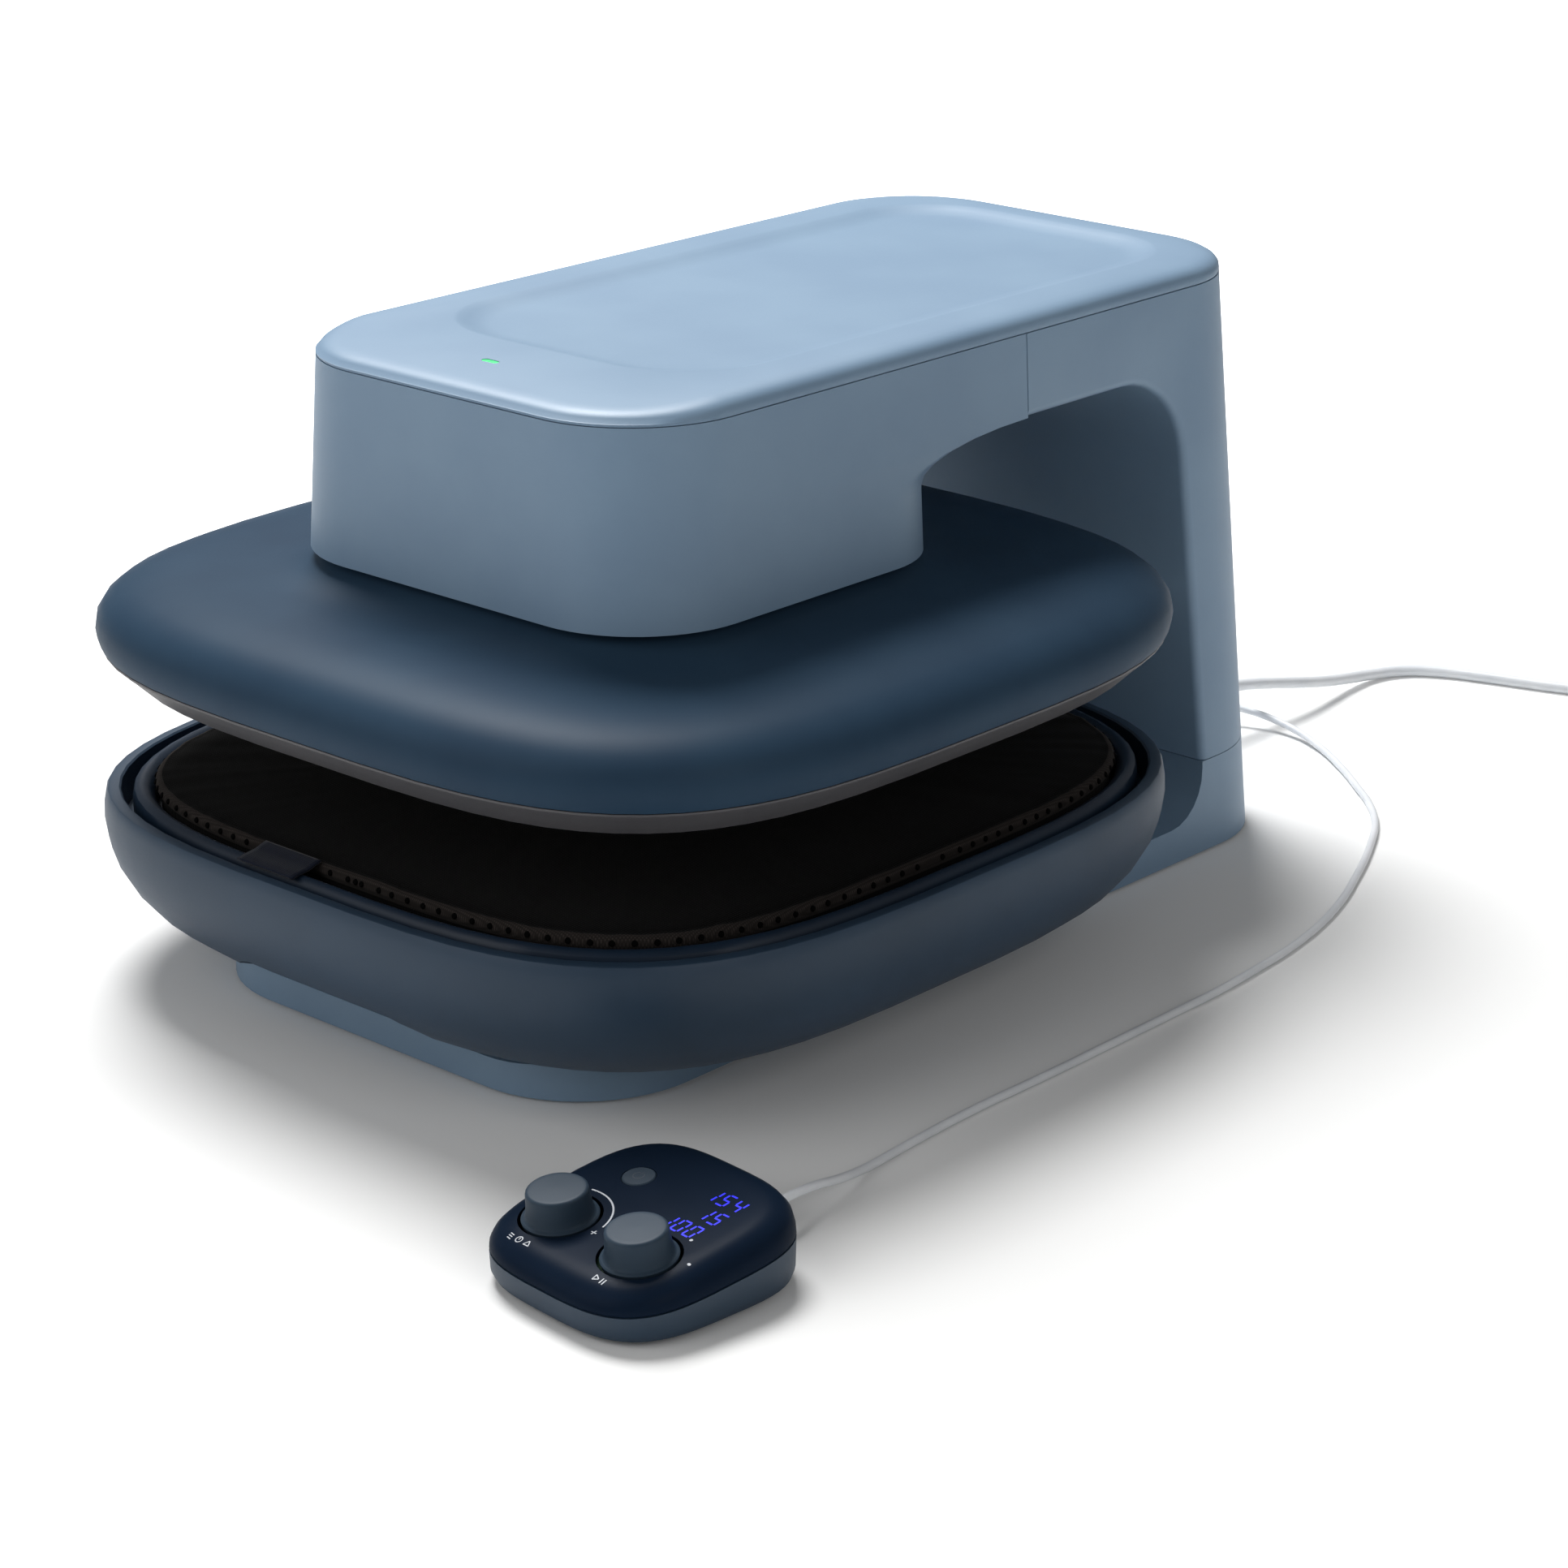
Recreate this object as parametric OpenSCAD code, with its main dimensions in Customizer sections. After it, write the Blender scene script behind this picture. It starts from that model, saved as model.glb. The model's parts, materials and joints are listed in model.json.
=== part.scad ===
// Automatic heat press: a C-shaped housing whose head lowers a heated plate onto a padded mat,
// with a separate control pod on a cable and a coiled mains lead.
// Origin on the table under the centre of the heat plate, +Z up, front towards -Y.

/* [Base and column] */
// Half width of the housing at the table
house_half_w = 132; // [128:1:140]
// Inward lean of the housing sides per millimetre of height
house_draft = 0.055; // [0.03:0.001:0.06]
// Front edge of the base
base_front = -170; // [-185:1:-160]
// Back edge of the housing at the table
house_back = 340; // [335:1:345]
// Height of the base deck under the tub
deck_z = 19; // [17:0.5:20]
// Height of the seam between base and column
foot_seam_z = 48; // [44:1:55]
// Wall of the housing shells
house_wall = 4; // [3:0.5:5]
// Thickness of the non-slip foot pad
pad_t = 1.5; // [1:0.5:3]

/* [Head] */
// Front edge of the head at its lower rim
head_front = -121; // [-130:1:-112]
// Back of the head block below the arm
head_back = 91; // [80:1:100]
// Height of the lower rim of the head
head_z = 197; // [196:1:200]
// Height of the seam under the top cover
top_seam_z = 286; // [284:1:292]
// Height of the arm from its underside to the top seam
arm_h = 39; // [37:1:42]
// Depth at which head and column housings meet
split_y = 136; // [130:1:142]
// Depth of the front of the column, just under the arch
column_front = 253; // [248:1:258]
// Radius of the arch between arm and column
arch_r = 45; // [35:1:50]
// Thickness of the top cover at its crest
cover_t = 8.5; // [7:0.5:10]
// Depth of the dish in the top cover
dish_depth = 3.4; // [2:0.2:4]

/* [Upper platen] */
// Half width of the platen cover at its seam
platen_half = 209.6; // [203:0.2:214]
// Height of the seam between platen cover and skirt
platen_seam_z = 153; // [151:0.5:154]
// Height of the cover where its edge rounding ends
platen_top_z = 185; // [184:0.5:187]
// Wall of the platen cover
platen_wall = 4; // [3:0.5:5]
// Half size of the heat plate
plate_half = 189.5; // [183:0.5:191]
// Height of the underside of the heat plate at rest
plate_z = 137.5; // [136:0.5:139]
// Thickness of the heat plate
plate_t = 12; // [10:0.5:12.5]
// Downward travel of the platen
press_travel = 43; // [35:1:43]

/* [Lift drive] */
// Radius of the guide rods
rod_r = 6; // [5:0.5:8]
// Radius of the lift screw
screw_r = 8; // [6:0.5:10]
// Thickness of the steel frame plates
frame_t = 5; // [4:0.5:5]
// Running clearance of rods and screw
run_gap = 0.05; // [0.03:0.01:0.08]

/* [Lower platen] */
// Half width of the tub
tub_half_w = 209; // [205:0.5:213]
// Half depth of the tub
tub_half_l = 217; // [213:0.5:221]
// Height of the tub rim
tub_rim_z = 87; // [84:0.5:89]
// Width of the groove between tub and tray
groove_w = 4.5; // [3:0.5:6]
// Width of the tub rim
rim_w = 7; // [5:0.5:8]
// Half width of the finger slot
slot_half_w = 68; // [60:1:75]
// Height of the top of the finger slot
slot_z = 38; // [34:1:42]
// Height of the mat at its edge
mat_edge_z = 91; // [90:0.5:93]
// Rise of the mat from edge to middle
mat_crown = 3; // [2:0.5:4]

/* [Control pod] */
// Half width of the pod
pod_half_w = 52; // [50:0.5:56]
// Half depth of the pod
pod_half_l = 52; // [50:0.5:56]
// Height of the middle of the pod face
pod_h = 29; // [28:0.5:31]
// Slope of the pod face in degrees
pod_tilt = 7.5; // [6:0.1:8]
// Wall of the pod shells
pod_wall = 2.5; // [2:0.1:3]
// Radius of the knob grip
knob_r = 12.6; // [11:0.2:13]
// Radius of the knob flange
knob_flange_r = 15.6; // [15:0.1:16]
// Height of the knob above the pod face
knob_h = 12.5; // [10:0.5:15]
// Distance of each knob from the middle of the pod
knob_offset = 23.5; // [22.5:0.5:24.5]
// Press travel of a knob
knob_travel = 1.2; // [0.8:0.1:1.5]
// Radius of the power button
button_r = 6.9; // [6:0.1:8]
// Press travel of the power button
button_travel = 0.6; // [0.4:0.1:0.8]

/* [Cords] */
// Diameter of the pod cable
cable_d = 3.8; // [3.8:0.1:3.9]
// Diameter of the mains lead
lead_d = 6.4; // [6.2:0.1:6.4]
// Radius of the innermost coil turn
coil_in_r = 26; // [26:1:30]
// Turns in each layer of the coil
coil_turns = 2.75; // [2.75]

/* [Hidden] */

// Colours
sky_blue = "#7b93ad";
navy = "#2c3f54";
pod_navy = "#1c2735";
steel = "#b9bcc0";

// Points round each plan outline
ring_points = 60;
// Space between pieces that rest against each other
seat_gap = 0.3;
// Exponents of the rounded plan outlines
platen_n = 3.55;
tub_n = 3.45;
mat_n = 3.9;
pod_n = 3.4;

// Height of the underside of the arm
arm_z = top_seam_z - arm_h;
// Corner radii of the housing plan, of the base and of the back of the head block
house_r = 57;
base_r = 61;
block_r = 50;
// Lean of the back and of the head front per millimetre of height
back_draft = 0.066;
front_draft = 0.035;
function house_w(z) = house_half_w - house_draft * z;
function house_y1(z) = house_back - back_draft * z;
function head_y0(z) = head_front + front_draft * (z - head_z);

// Plan outlines

function spow(v, e) = sign(v) * pow(abs(v), e);
function outline(half_w, y0, y1, mid, n0, n1) = [for (i = [0:ring_points - 1])
    let (t = 360 * (i + 0.5) / ring_points, s = sin(t), n = s < 0 ? n0 : n1,
        half_l = s < 0 ? mid - y0 : y1 - mid)
    [half_w * spow(cos(t), 2 / n), mid + half_l * spow(s, 2 / n)]];
function round_plan(half_w, half_l, n) = outline(half_w, -half_l, half_l, 0, n, n);
// A plan with round corners, r0 at the front and r1 at the back
corner_points = ring_points / 4;
function corner_plan(half_w, y0, y1, r0, r1) = [for (i = [0:ring_points - 1])
    let (q = floor(i / corner_points), a = 90 * (q + (i % corner_points) / (corner_points - 1)),
        r = q < 2 ? r1 : r0, x = (half_w - r) * (q % 3 == 0 ? 1 : -1), y = q < 2 ? y1 - r : y0 + r)
    [x + r * cos(a), y + r * sin(a)]];
function at_z(plan, z) = [for (p = plan) [p[0], p[1], z]];
function mixed(a, b, u) = [for (i = [0:len(a) - 1]) a[i] * (1 - u) + b[i] * u];

// Side faces between rings of equal length, as triangles
function band_faces(count, rows, closed) = [for (r = [0:rows - (closed ? 1 : 2)], j = [0:count - 1])
    let (a = r * count + j, b = r * count + (j + 1) % count,
        d = ((r + 1) % rows) * count + j, c = ((r + 1) % rows) * count + (j + 1) % count)
    each [[a, d, c], [a, c, b]]];

// A solid skinned over rings; closed joins the last ring to the first, as on a tubular shell
module skin(rings, closed = false) {
    count = len(rings[0]);
    rows = len(rings);
    caps = closed ? [] : [[for (j = [0:count - 1]) j],
        [for (j = [count - 1:-1:0]) (rows - 1) * count + j]];
    polyhedron([for (r = rings) each r], concat(band_faces(count, rows, closed), caps), convexity = 8);
}

// A round tube of even width along a list of points
function unit(v) = v / norm(v);
function tangent(path, i) = unit(path[min(i + 1, len(path) - 1)] - path[max(i - 1, 0)]);
module tube(path, r, sides) {
    skin([for (i = [0:len(path) - 1])
        let (t = tangent(path, i), side = unit(cross([0, 0, 1], t)), up = cross(t, side))
        [for (k = [0:sides - 1]) let (a = -360 * k / sides) path[i] + r * (cos(a) * side + sin(a) * up)]]);
}

// A cylinder along +Y from a point
module along_y(p, r0, r1, length) {
    translate(p) rotate([-90, 0, 0]) cylinder(h = length, r1 = r0, r2 = r1, $fn = 48);
}

// Base and column

function house_plan(z, inset = 0) = corner_plan(house_w(z) - inset, base_front + inset, house_y1(z) - inset,
    base_r - inset, house_r - inset);
column_lean = 0.085;
column_cut_z = -10;
// Side view of the space under the arm, grown for the inner wall
module arch_profile(grow) {
    y = column_front - grow;
    top = arm_z + grow;
    low_y = y + column_lean * (top - arch_r - column_cut_z) + 2 * grow;
    front_y = split_y - 60;
    y_wall = y + 2 * grow;
    polygon([[front_y, column_cut_z], [front_y, top], [y_wall - arch_r, top],
        each [for (a = [80:-10:0]) [y_wall - arch_r + arch_r * cos(a), top - arch_r + arch_r * sin(a)]],
        [low_y, column_cut_z]]);
}
module across(profile_w) {
    rotate([90, 0, 90]) translate([0, 0, -profile_w]) linear_extrude(2 * profile_w) children();
}

module foot_pad() {
    color("#26282b") skin([at_z(house_plan(0, 7), 0), at_z(house_plan(0, 7), pad_t)]);
}

// Depth at which the deck rises into the column foot
deck_end = 240;
deck_r = 26;
module deck_profile() {
    lead = 12;
    polygon([[base_front - 20, deck_z - 3], [base_front, deck_z - 3], [base_front + lead, deck_z],
        each [for (a = [-90:15:0]) [deck_end + deck_r * cos(a), deck_z + deck_r + deck_r * sin(a)]],
        [deck_end + deck_r, foot_seam_z + 20], [base_front - 20, foot_seam_z + 20]]);
}
cavity_top = deck_z - house_wall - 0.5;
module base_shell() {
    color(sky_blue) difference() {
        skin([at_z(house_plan(pad_t), pad_t), at_z(house_plan(foot_seam_z), foot_seam_z)]);
        across(200) deck_profile();
        skin([at_z(house_plan(0, house_wall + 4), pad_t + 2.5), at_z(house_plan(0, house_wall + 4),
            cavity_top)]);
        difference() {
            skin([at_z(house_plan(foot_seam_z, house_wall), cavity_top - 1),
                at_z(house_plan(foot_seam_z, house_wall), foot_seam_z + 1)]);
            translate([-200, base_front - 10, 0])
                cube([400, deck_end + deck_r + house_wall - base_front + 10, 100]);
        }
        along_y([gland_x, house_back - 30, gland_z], gland_r, gland_r, 60);
        along_y([cable_gland_x, house_back - 30, cable_gland_z], cable_gland_r, cable_gland_r, 60);
    }
}

module column_shell() {
    z0 = foot_seam_z + seat_gap;
    color(sky_blue) difference() {
        skin([at_z(house_plan(z0), z0), at_z(house_plan(top_seam_z), top_seam_z)]);
        translate([-300, -300, -10]) cube([600, 300 + split_y + seat_gap, 400]);
        across(200) arch_profile(0);
        difference() {
            skin([at_z(house_plan(z0, house_wall), z0 - 1),
                at_z(house_plan(top_seam_z, house_wall), top_seam_z + 1)]);
            across(200) arch_profile(house_wall);
        }
    }
}

// Head

// The block widens backwards into the arm through a long fillet
fillet_z = 20;
function head_y1(z) = z >= arm_z ? split_y
    : z <= arm_z - fillet_z ? head_back
    : head_back + (split_y - head_back) * (1 - sqrt(1 - pow((z - arm_z + fillet_z) / fillet_z, 2)));
function head_r1(z) = let (u = max(0, min(1, (z - arm_z + fillet_z) / fillet_z)))
    block_r * sqrt(max(0.0001, 1 - u * u));
function head_plan(z, inset = 0) = corner_plan(house_w(z) - inset, head_y0(z) + inset, head_y1(z) - inset,
    house_r - inset, max(0.5, head_r1(z) - inset));
head_levels = [head_z, arm_z - 20, arm_z - 14, arm_z - 9, arm_z - 5, arm_z - 2, arm_z - 0.5, arm_z,
    top_seam_z];
frame_pass_w = 62;
module head_shell() {
    inner = [for (i = [len(head_levels) - 1:-1:0]) head_levels[i]];
    color(sky_blue) difference() {
        skin(concat([for (z = head_levels) at_z(head_plan(z), z)],
            [for (z = inner) at_z(head_plan(z, house_wall), z)]), closed = true);
        translate([-frame_pass_w, split_y - 20, frame_z - 1])
            cube([2 * frame_pass_w, 40, top_seam_z - frame_z - 4]);
    }
}

// Top cover with a dished panel and a broad front slope
dish_half_w = 87;
dish_front = -54;
front_slope = 2.6;
function cover_plan(inset) = corner_plan(house_w(top_seam_z) - inset, head_y0(top_seam_z) + inset,
    house_y1(top_seam_z) - inset, house_r - inset, house_r - inset);
function dish_plan(inset) = corner_plan(dish_half_w - inset, dish_front + inset,
    house_y1(top_seam_z) - 22 - inset, 50 - inset, 45 - inset);
function ease(u) = let (v = max(0, min(1, u))) v * v * (3 - 2 * v);
function sloped(plan, z) = [for (p = plan) [p[0], p[1],
    z - front_slope * ease((dish_front + 6 - p[1]) / 52)]];
cover_z = top_seam_z + seat_gap;
crest_z = cover_z + cover_t;
module top_cover() {
    color(sky_blue) difference() {
        skin([at_z(cover_plan(0.4), cover_z), at_z(cover_plan(0), cover_z + 1.2),
            sloped(cover_plan(0.5), crest_z - 4.5), sloped(cover_plan(2), crest_z - 2.6),
            sloped(cover_plan(4.5), crest_z - 1.2), sloped(cover_plan(8), crest_z - 0.4),
            sloped(cover_plan(12.5), crest_z - 0.05), sloped(dish_plan(-2), crest_z),
            at_z(dish_plan(0), crest_z - 0.3), at_z(dish_plan(4), crest_z - 1.4),
            at_z(dish_plan(9), crest_z - dish_depth + 0.5), at_z(dish_plan(15), crest_z - dish_depth)]);
        light_pocket(0.1);
    }
}
light_x = -7;
light_y = -82;
light_half = 3;
light_r = 1.7;
light_z = crest_z - front_slope * ease((dish_front + 6 - light_y) / 52);
module light_pocket(grow) {
    translate([light_x - light_half, light_y, light_z - 4]) {
        cylinder(h = 8, r = light_r + grow, $fn = 32);
        translate([2 * light_half, 0, 0]) cylinder(h = 8, r = light_r + grow, $fn = 32);
        translate([0, -light_r - grow, 0]) cube([2 * light_half, 2 * (light_r + grow), 8]);
    }
}
module status_light() {
    color("#5fe07f") intersection() {
        light_pocket(0);
        translate([-50, -150, light_z - 5]) cube([100, 150, 5.1]);
    }
}

// Steel frame, motor and screw

frame_z = arm_z + house_wall + 1;
frame_half_w = 55;
frame_column_y = column_front + arch_r - 6;
frame_base_z = pad_t + 2.5;
drive_half_w = 96;
drive_y = -15;
drive_half_l = 80;
rod_x = 80;
rod_y = 62;
rod_spots = [for (x = [-rod_x, rod_x], y = [drive_y - rod_y, drive_y + rod_y]) [x, y]];
rod_low_z = 172;
module steel_frame() {
    color(steel) difference() {
        union() {
            translate([-drive_half_w, drive_y - drive_half_l, frame_z])
                cube([2 * drive_half_w, 2 * drive_half_l, frame_t]);
            translate([-frame_half_w, drive_y, frame_z])
                cube([2 * frame_half_w, frame_column_y + frame_t - drive_y, frame_t]);
            translate([-frame_half_w, frame_column_y, frame_base_z])
                cube([2 * frame_half_w, frame_t, frame_z - frame_base_z + frame_t]);
            translate([-frame_half_w, -100, frame_base_z])
                cube([2 * frame_half_w, frame_column_y + frame_t + 100, frame_t]);
            for (x = [-frame_half_w, frame_half_w - frame_t])
                translate([x, frame_column_y - 14, 60]) cube([frame_t, 14 + frame_t, frame_z - 60]);
        }
        translate([0, drive_y, frame_z - 1])
            cylinder(h = frame_t + 2, r = screw_r + run_gap, $fn = 64);
    }
}
// The motor lies in the arm and fills the height that the frame leaves
motor_r = (top_seam_z - frame_z - frame_t) / 2 - 2;
motor_l = drive_half_l - 10;
gearbox_r = drive_half_l / 2;
gearbox_h = 1.3 * motor_r;
module gear_motor() {
    z = frame_z + frame_t;
    color("#5b6066") union() {
        translate([0, drive_y, z]) cylinder(h = gearbox_h, r = gearbox_r, $fn = 96);
        translate([0, drive_y + gearbox_r - 10, z + motor_r]) rotate([-90, 0, 0])
            cylinder(h = motor_l, r = motor_r, $fn = 64);
    }
}
module guide_rods() {
    color("silver") for (p = rod_spots)
        translate([p[0], p[1], rod_low_z]) cylinder(h = frame_z - rod_low_z, r = rod_r, $fn = 48);
}
module lift_screw() {
    color("silver") translate([0, drive_y, rod_low_z])
        cylinder(h = frame_z + frame_t - seat_gap - rod_low_z, r = screw_r, $fn = 64);
}
board_w = 1.45 * frame_half_w;
board_l = 0.9 * board_w;
board_hole_in = 6;
board_thick = 1.6;
module control_board() {
    color("#2f6b46") translate([0, deck_end / 2, frame_base_z + frame_t]) difference() {
        translate([-board_w, -board_l / 2, 0]) cube([2 * board_w, board_l, board_thick]);
        for (x = [-1, 1], y = [-1, 1])
            translate([x * (board_w - board_hole_in), y * (board_l / 2 - board_hole_in), -1])
                cylinder(h = board_thick + 2, r = 1.7, $fn = 32);
    }
}

// Lower platen

function tub_plan(inset) = round_plan(tub_half_w - inset, tub_half_l - inset, tub_n);
tub_floor_z = 30;
tub_ledge_z = 70;
tub_cavity_inset = 48;
slot_depth = 28;
// Depth of the inner wall of the finger slot
tub_back_y = tub_half_l - tub_cavity_inset + 7;
// Length over which the slot runs out at each end
slot_run = 24;
// Inset and height down the outside of the tub, from the deck to the rim
tub_profile = [[60, deck_z], [46, deck_z + 1.6], [33, deck_z + 5], [23, deck_z + 10], [15, deck_z + 16.5],
    [8.5, deck_z + 25], [4, deck_z + 34], [1.2, deck_z + 44], [0, deck_z + 54], [0.3, tub_rim_z - 6],
    [1, tub_rim_z - 2], [1.8, tub_rim_z - 0.5], [2.8, tub_rim_z]];
module finger_slot() {
    low = deck_z - 10;
    rise = slot_z - deck_z;
    depth = slot_depth + tub_half_l - tub_back_y;
    end = [for (t = [0:0.125:1]) [slot_half_w - slot_run * ease(t), -deck_z - rise * (1 - pow(1 - t, 2))]];
    translate([0, -tub_half_l - slot_depth, 0]) rotate([-90, 0, 0]) linear_extrude(depth)
        polygon(concat([[slot_half_w, -low]], end,
            [for (k = [len(end) - 1:-1:0]) [-end[k][0], end[k][1]]], [[-slot_half_w, -low]]));
}
module lower_tub() {
    inner = [[rim_w - 0.8, tub_rim_z], [rim_w, tub_rim_z - 0.8], [rim_w + 0.3, tub_ledge_z],
        [tub_cavity_inset, tub_ledge_z], [tub_cavity_inset, tub_floor_z]];
    color(navy) difference() {
        skin([for (p = concat(tub_profile, inner)) at_z(tub_plan(p[0]), p[1])]);
        finger_slot();
    }
}
rib_margin = 30;
rib_t = 6;
rib_share = 0.68;
module support_frame() {
    h = tub_ledge_z - tub_floor_z;
    reach_x = tub_half_w - tub_cavity_inset - rib_margin;
    reach_y = tub_half_l - tub_cavity_inset - rib_margin;
    color(steel) translate([0, 0, tub_floor_z]) union() {
        for (k = [-1:1]) translate([k * reach_x * rib_share - rib_t / 2, -reach_y, 0])
            cube([rib_t, 2 * reach_y, h]);
        for (k = [-1:1]) translate([-reach_x, k * reach_y * rib_share - rib_t / 2, 0])
            cube([2 * reach_x, rib_t, h]);
    }
}
tray_inset = rim_w + groove_w;
tray_floor_z = 74;
tray_lip_z = tub_rim_z + 1;
mat_inset = tray_inset + 13.5;
module tray() {
    profile = [[tray_inset, tub_ledge_z], [tray_inset, tray_lip_z - 5], [tray_inset + 0.8, tray_lip_z - 2],
        [tray_inset + 2.4, tray_lip_z - 0.5], [tray_inset + 4.2, tray_lip_z], [tray_inset + 6.2,
        tray_lip_z - 0.8],
        [tray_inset + 8, tray_lip_z - 3], [tray_inset + 9, tray_lip_z - 6], [tray_inset + 9, tray_floor_z]];
    color(navy) skin([for (p = profile) at_z(tub_plan(p[0]), p[1])]);
}
function mat_plan(inset) = round_plan(tub_half_w - mat_inset - inset, tub_half_l - mat_inset - inset, mat_n);
module press_mat() {
    profile = [[3, tray_floor_z], [2, tray_floor_z + 1.5], [2, tray_lip_z - 4], [0.4, mat_edge_z - 5],
        [0, mat_edge_z - 3], [1, mat_edge_z - 0.8], [3.5, mat_edge_z], [20, mat_edge_z + 0.35 * mat_crown],
        [55, mat_edge_z + 0.72 * mat_crown], [110, mat_edge_z + mat_crown]];
    color("#151515") skin([for (p = profile) at_z(mat_plan(p[0]), p[1])]);
}
tab_x = -30;
tab_w = 34;
module tab_profile() {
    y = -tub_half_l + mat_inset;
    lip = y - 8.5;
    z = tray_lip_z + seat_gap;
    polygon([[y - 0.6, mat_edge_z - 4], [y - 4, z + 0.4], [lip, z], [lip - 6.5, z - 1.6], [lip - 6.5, z],
        [lip, z + 1.4], [y - 3.4, z + 1.7], [y - 0.6, mat_edge_z - 2.4]]);
}
module mat_tab() {
    color("#1b2230") translate([tab_x, 0, 0]) across(tab_w / 2) tab_profile();
}

// Upper platen

function platen_plan(inset) = round_plan(platen_half - inset, platen_half - inset, platen_n);
collar_gap = 2.5;
collar_z = frame_z - 12;
collar_inset = house_wall + collar_gap;
lift_t = 5;
function collar_plan(inset) = corner_plan(house_w(collar_z + lift_t) - collar_inset - inset,
    head_y0(collar_z + lift_t) + collar_inset + inset, head_back - collar_inset - inset,
    house_r - collar_inset - inset, block_r - collar_inset - inset);
sweep_z = head_z - 1;
// The cover rises in a hollow sweep from its flat top to the collar
function sweep(u, inset, lift) = at_z(mixed(platen_plan(50), collar_plan(inset), u),
    platen_top_z + 0.6 + (sweep_z - platen_top_z) * pow(u, 4) + lift);
module platen_cover() {
    z = platen_seam_z + seat_gap / 2;
    edge = [[0, z], [-1.6, z + 4], [-2.2, z + 9], [-1.4, z + 14.5], [1.6, z + 20], [7, z + 24.8],
        [15, z + 28.4], [26, z + 30.8], [38, platen_top_z]];
    edge_in = [[31, platen_top_z - platen_wall], [17, z + 25.5], [7, z + 19], [3, z + 12], [4.5, z]];
    color(navy) skin(concat([for (p = edge) at_z(platen_plan(p[0]), p[1])],
        [for (u = [0.25:0.15:1]) sweep(u, 0, 0)], [sweep(1, 0, 1)],
        [at_z(collar_plan(0), collar_z), at_z(collar_plan(platen_wall), collar_z)],
        [at_z(collar_plan(platen_wall), platen_top_z - platen_wall + 1)],
        [for (p = edge_in) at_z(platen_plan(p[0]), p[1])]), closed = true);
}
module heat_skirt() {
    z = platen_seam_z - seat_gap / 2;
    low = plate_z + 1;
    color("#4a4b4f") skin([at_z(platen_plan(14.6), low), at_z(platen_plan(12.6), low + 0.8),
        at_z(platen_plan(3.4), z - 4), at_z(platen_plan(0.4), z - 1.2), at_z(platen_plan(0.2), z),
        at_z(platen_plan(5), z), at_z(platen_plan(platen_half - plate_half - 0.4), z - 6),
        at_z(platen_plan(platen_half - plate_half - 0.4), low)], closed = true);
}
function plate_plan(inset) = round_plan(plate_half - inset, plate_half - inset, platen_n);
module heat_plate() {
    color("#2b2b2d") skin([at_z(plate_plan(2.5), plate_z), at_z(plate_plan(0.6), plate_z + 0.6),
        at_z(plate_plan(0), plate_z + 2), at_z(plate_plan(0), plate_z + plate_t)]);
}
heater_radii = [70, 135];
heater_r = 4;
heater_channel = heater_r + 1.5;
plate_top = plate_z + plate_t;
module heating_element() {
    color("#7a6f66") for (r = heater_radii)
        translate([0, 0, plate_top]) rotate_extrude($fn = 96)
            translate([r - heater_r, 0]) square([2 * heater_r, 2 * heater_r]);
}
slab_h = 16;
module insulation_slab() {
    color("#d8d2c4") difference() {
        skin([at_z(plate_plan(6), plate_top), at_z(plate_plan(6), plate_top + slab_h)]);
        for (r = heater_radii)
            translate([0, 0, plate_top - 1]) rotate_extrude($fn = 96)
                translate([r - heater_channel, 0]) square([2 * heater_channel, 2 * heater_r + 2]);
    }
}
bush_wall = 3;
nut_r = 14;
press_gap = 0.05;
module lift_plate() {
    color(steel) difference() {
        skin([at_z(collar_plan(0), collar_z), at_z(collar_plan(0), collar_z + lift_t)]);
        for (p = rod_spots) translate([p[0], p[1], collar_z - 1])
            cylinder(h = lift_t + 2, r = rod_r + bush_wall + press_gap, $fn = 48);
        translate([0, drive_y, collar_z - 1]) cylinder(h = lift_t + 2, r = nut_r + press_gap, $fn = 64);
    }
}
module lift_nut() {
    color("#b08d4f") translate([0, drive_y, 0]) difference() {
        union() {
            translate([0, 0, collar_z - 14]) cylinder(h = 14 + lift_t, r = nut_r, $fn = 64);
            translate([0, 0, collar_z - 5]) cylinder(h = 5, r = nut_r + 8, $fn = 64);
        }
        translate([0, 0, collar_z - 20]) cylinder(h = 40, r = screw_r + run_gap, $fn = 64);
    }
}
module guide_bushes() {
    color("#b08d4f") for (p = rod_spots) translate([p[0], p[1], 0]) difference() {
        union() {
            translate([0, 0, collar_z - 8]) cylinder(h = 8 + lift_t, r = rod_r + bush_wall, $fn = 48);
            translate([0, 0, collar_z - 3]) cylinder(h = 3, r = rod_r + bush_wall + 4, $fn = 48);
        }
        translate([0, 0, collar_z - 20]) cylinder(h = 40, r = rod_r + run_gap, $fn = 48);
    }
}

// Cord glands on the back of the base

gland_x = 33;
gland_z = 32;
gland_r = 7;
gland_end = house_back + 22;
cable_gland_x = -5;
cable_gland_z = 16;
cable_gland_r = 4.5;
cable_gland_end = house_back + 13;
module strain_relief(x, z, r, tip_r, end, bore_r) {
    start = house_back - 12;
    difference() {
        union() {
            along_y([x, start, z], r - 0.1, r - 0.1, house_back - start);
            along_y([x, house_back, z], r - 0.1, tip_r, end - house_back);
        }
        along_y([x, start - 1, z], bore_r, bore_r, 6);
    }
}
module power_gland() {
    color("#c9ccd0") strain_relief(gland_x, gland_z, gland_r, lead_d / 2 + 0.9, gland_end, lead_d / 2);
}
module cable_gland() {
    color("#c9ccd0")
        strain_relief(cable_gland_x, cable_gland_z, cable_gland_r, cable_d / 2 + 0.7,
            cable_gland_end, cable_d / 2);
}

// Control pod

pod_x = 244;
pod_y = -252;
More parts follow.
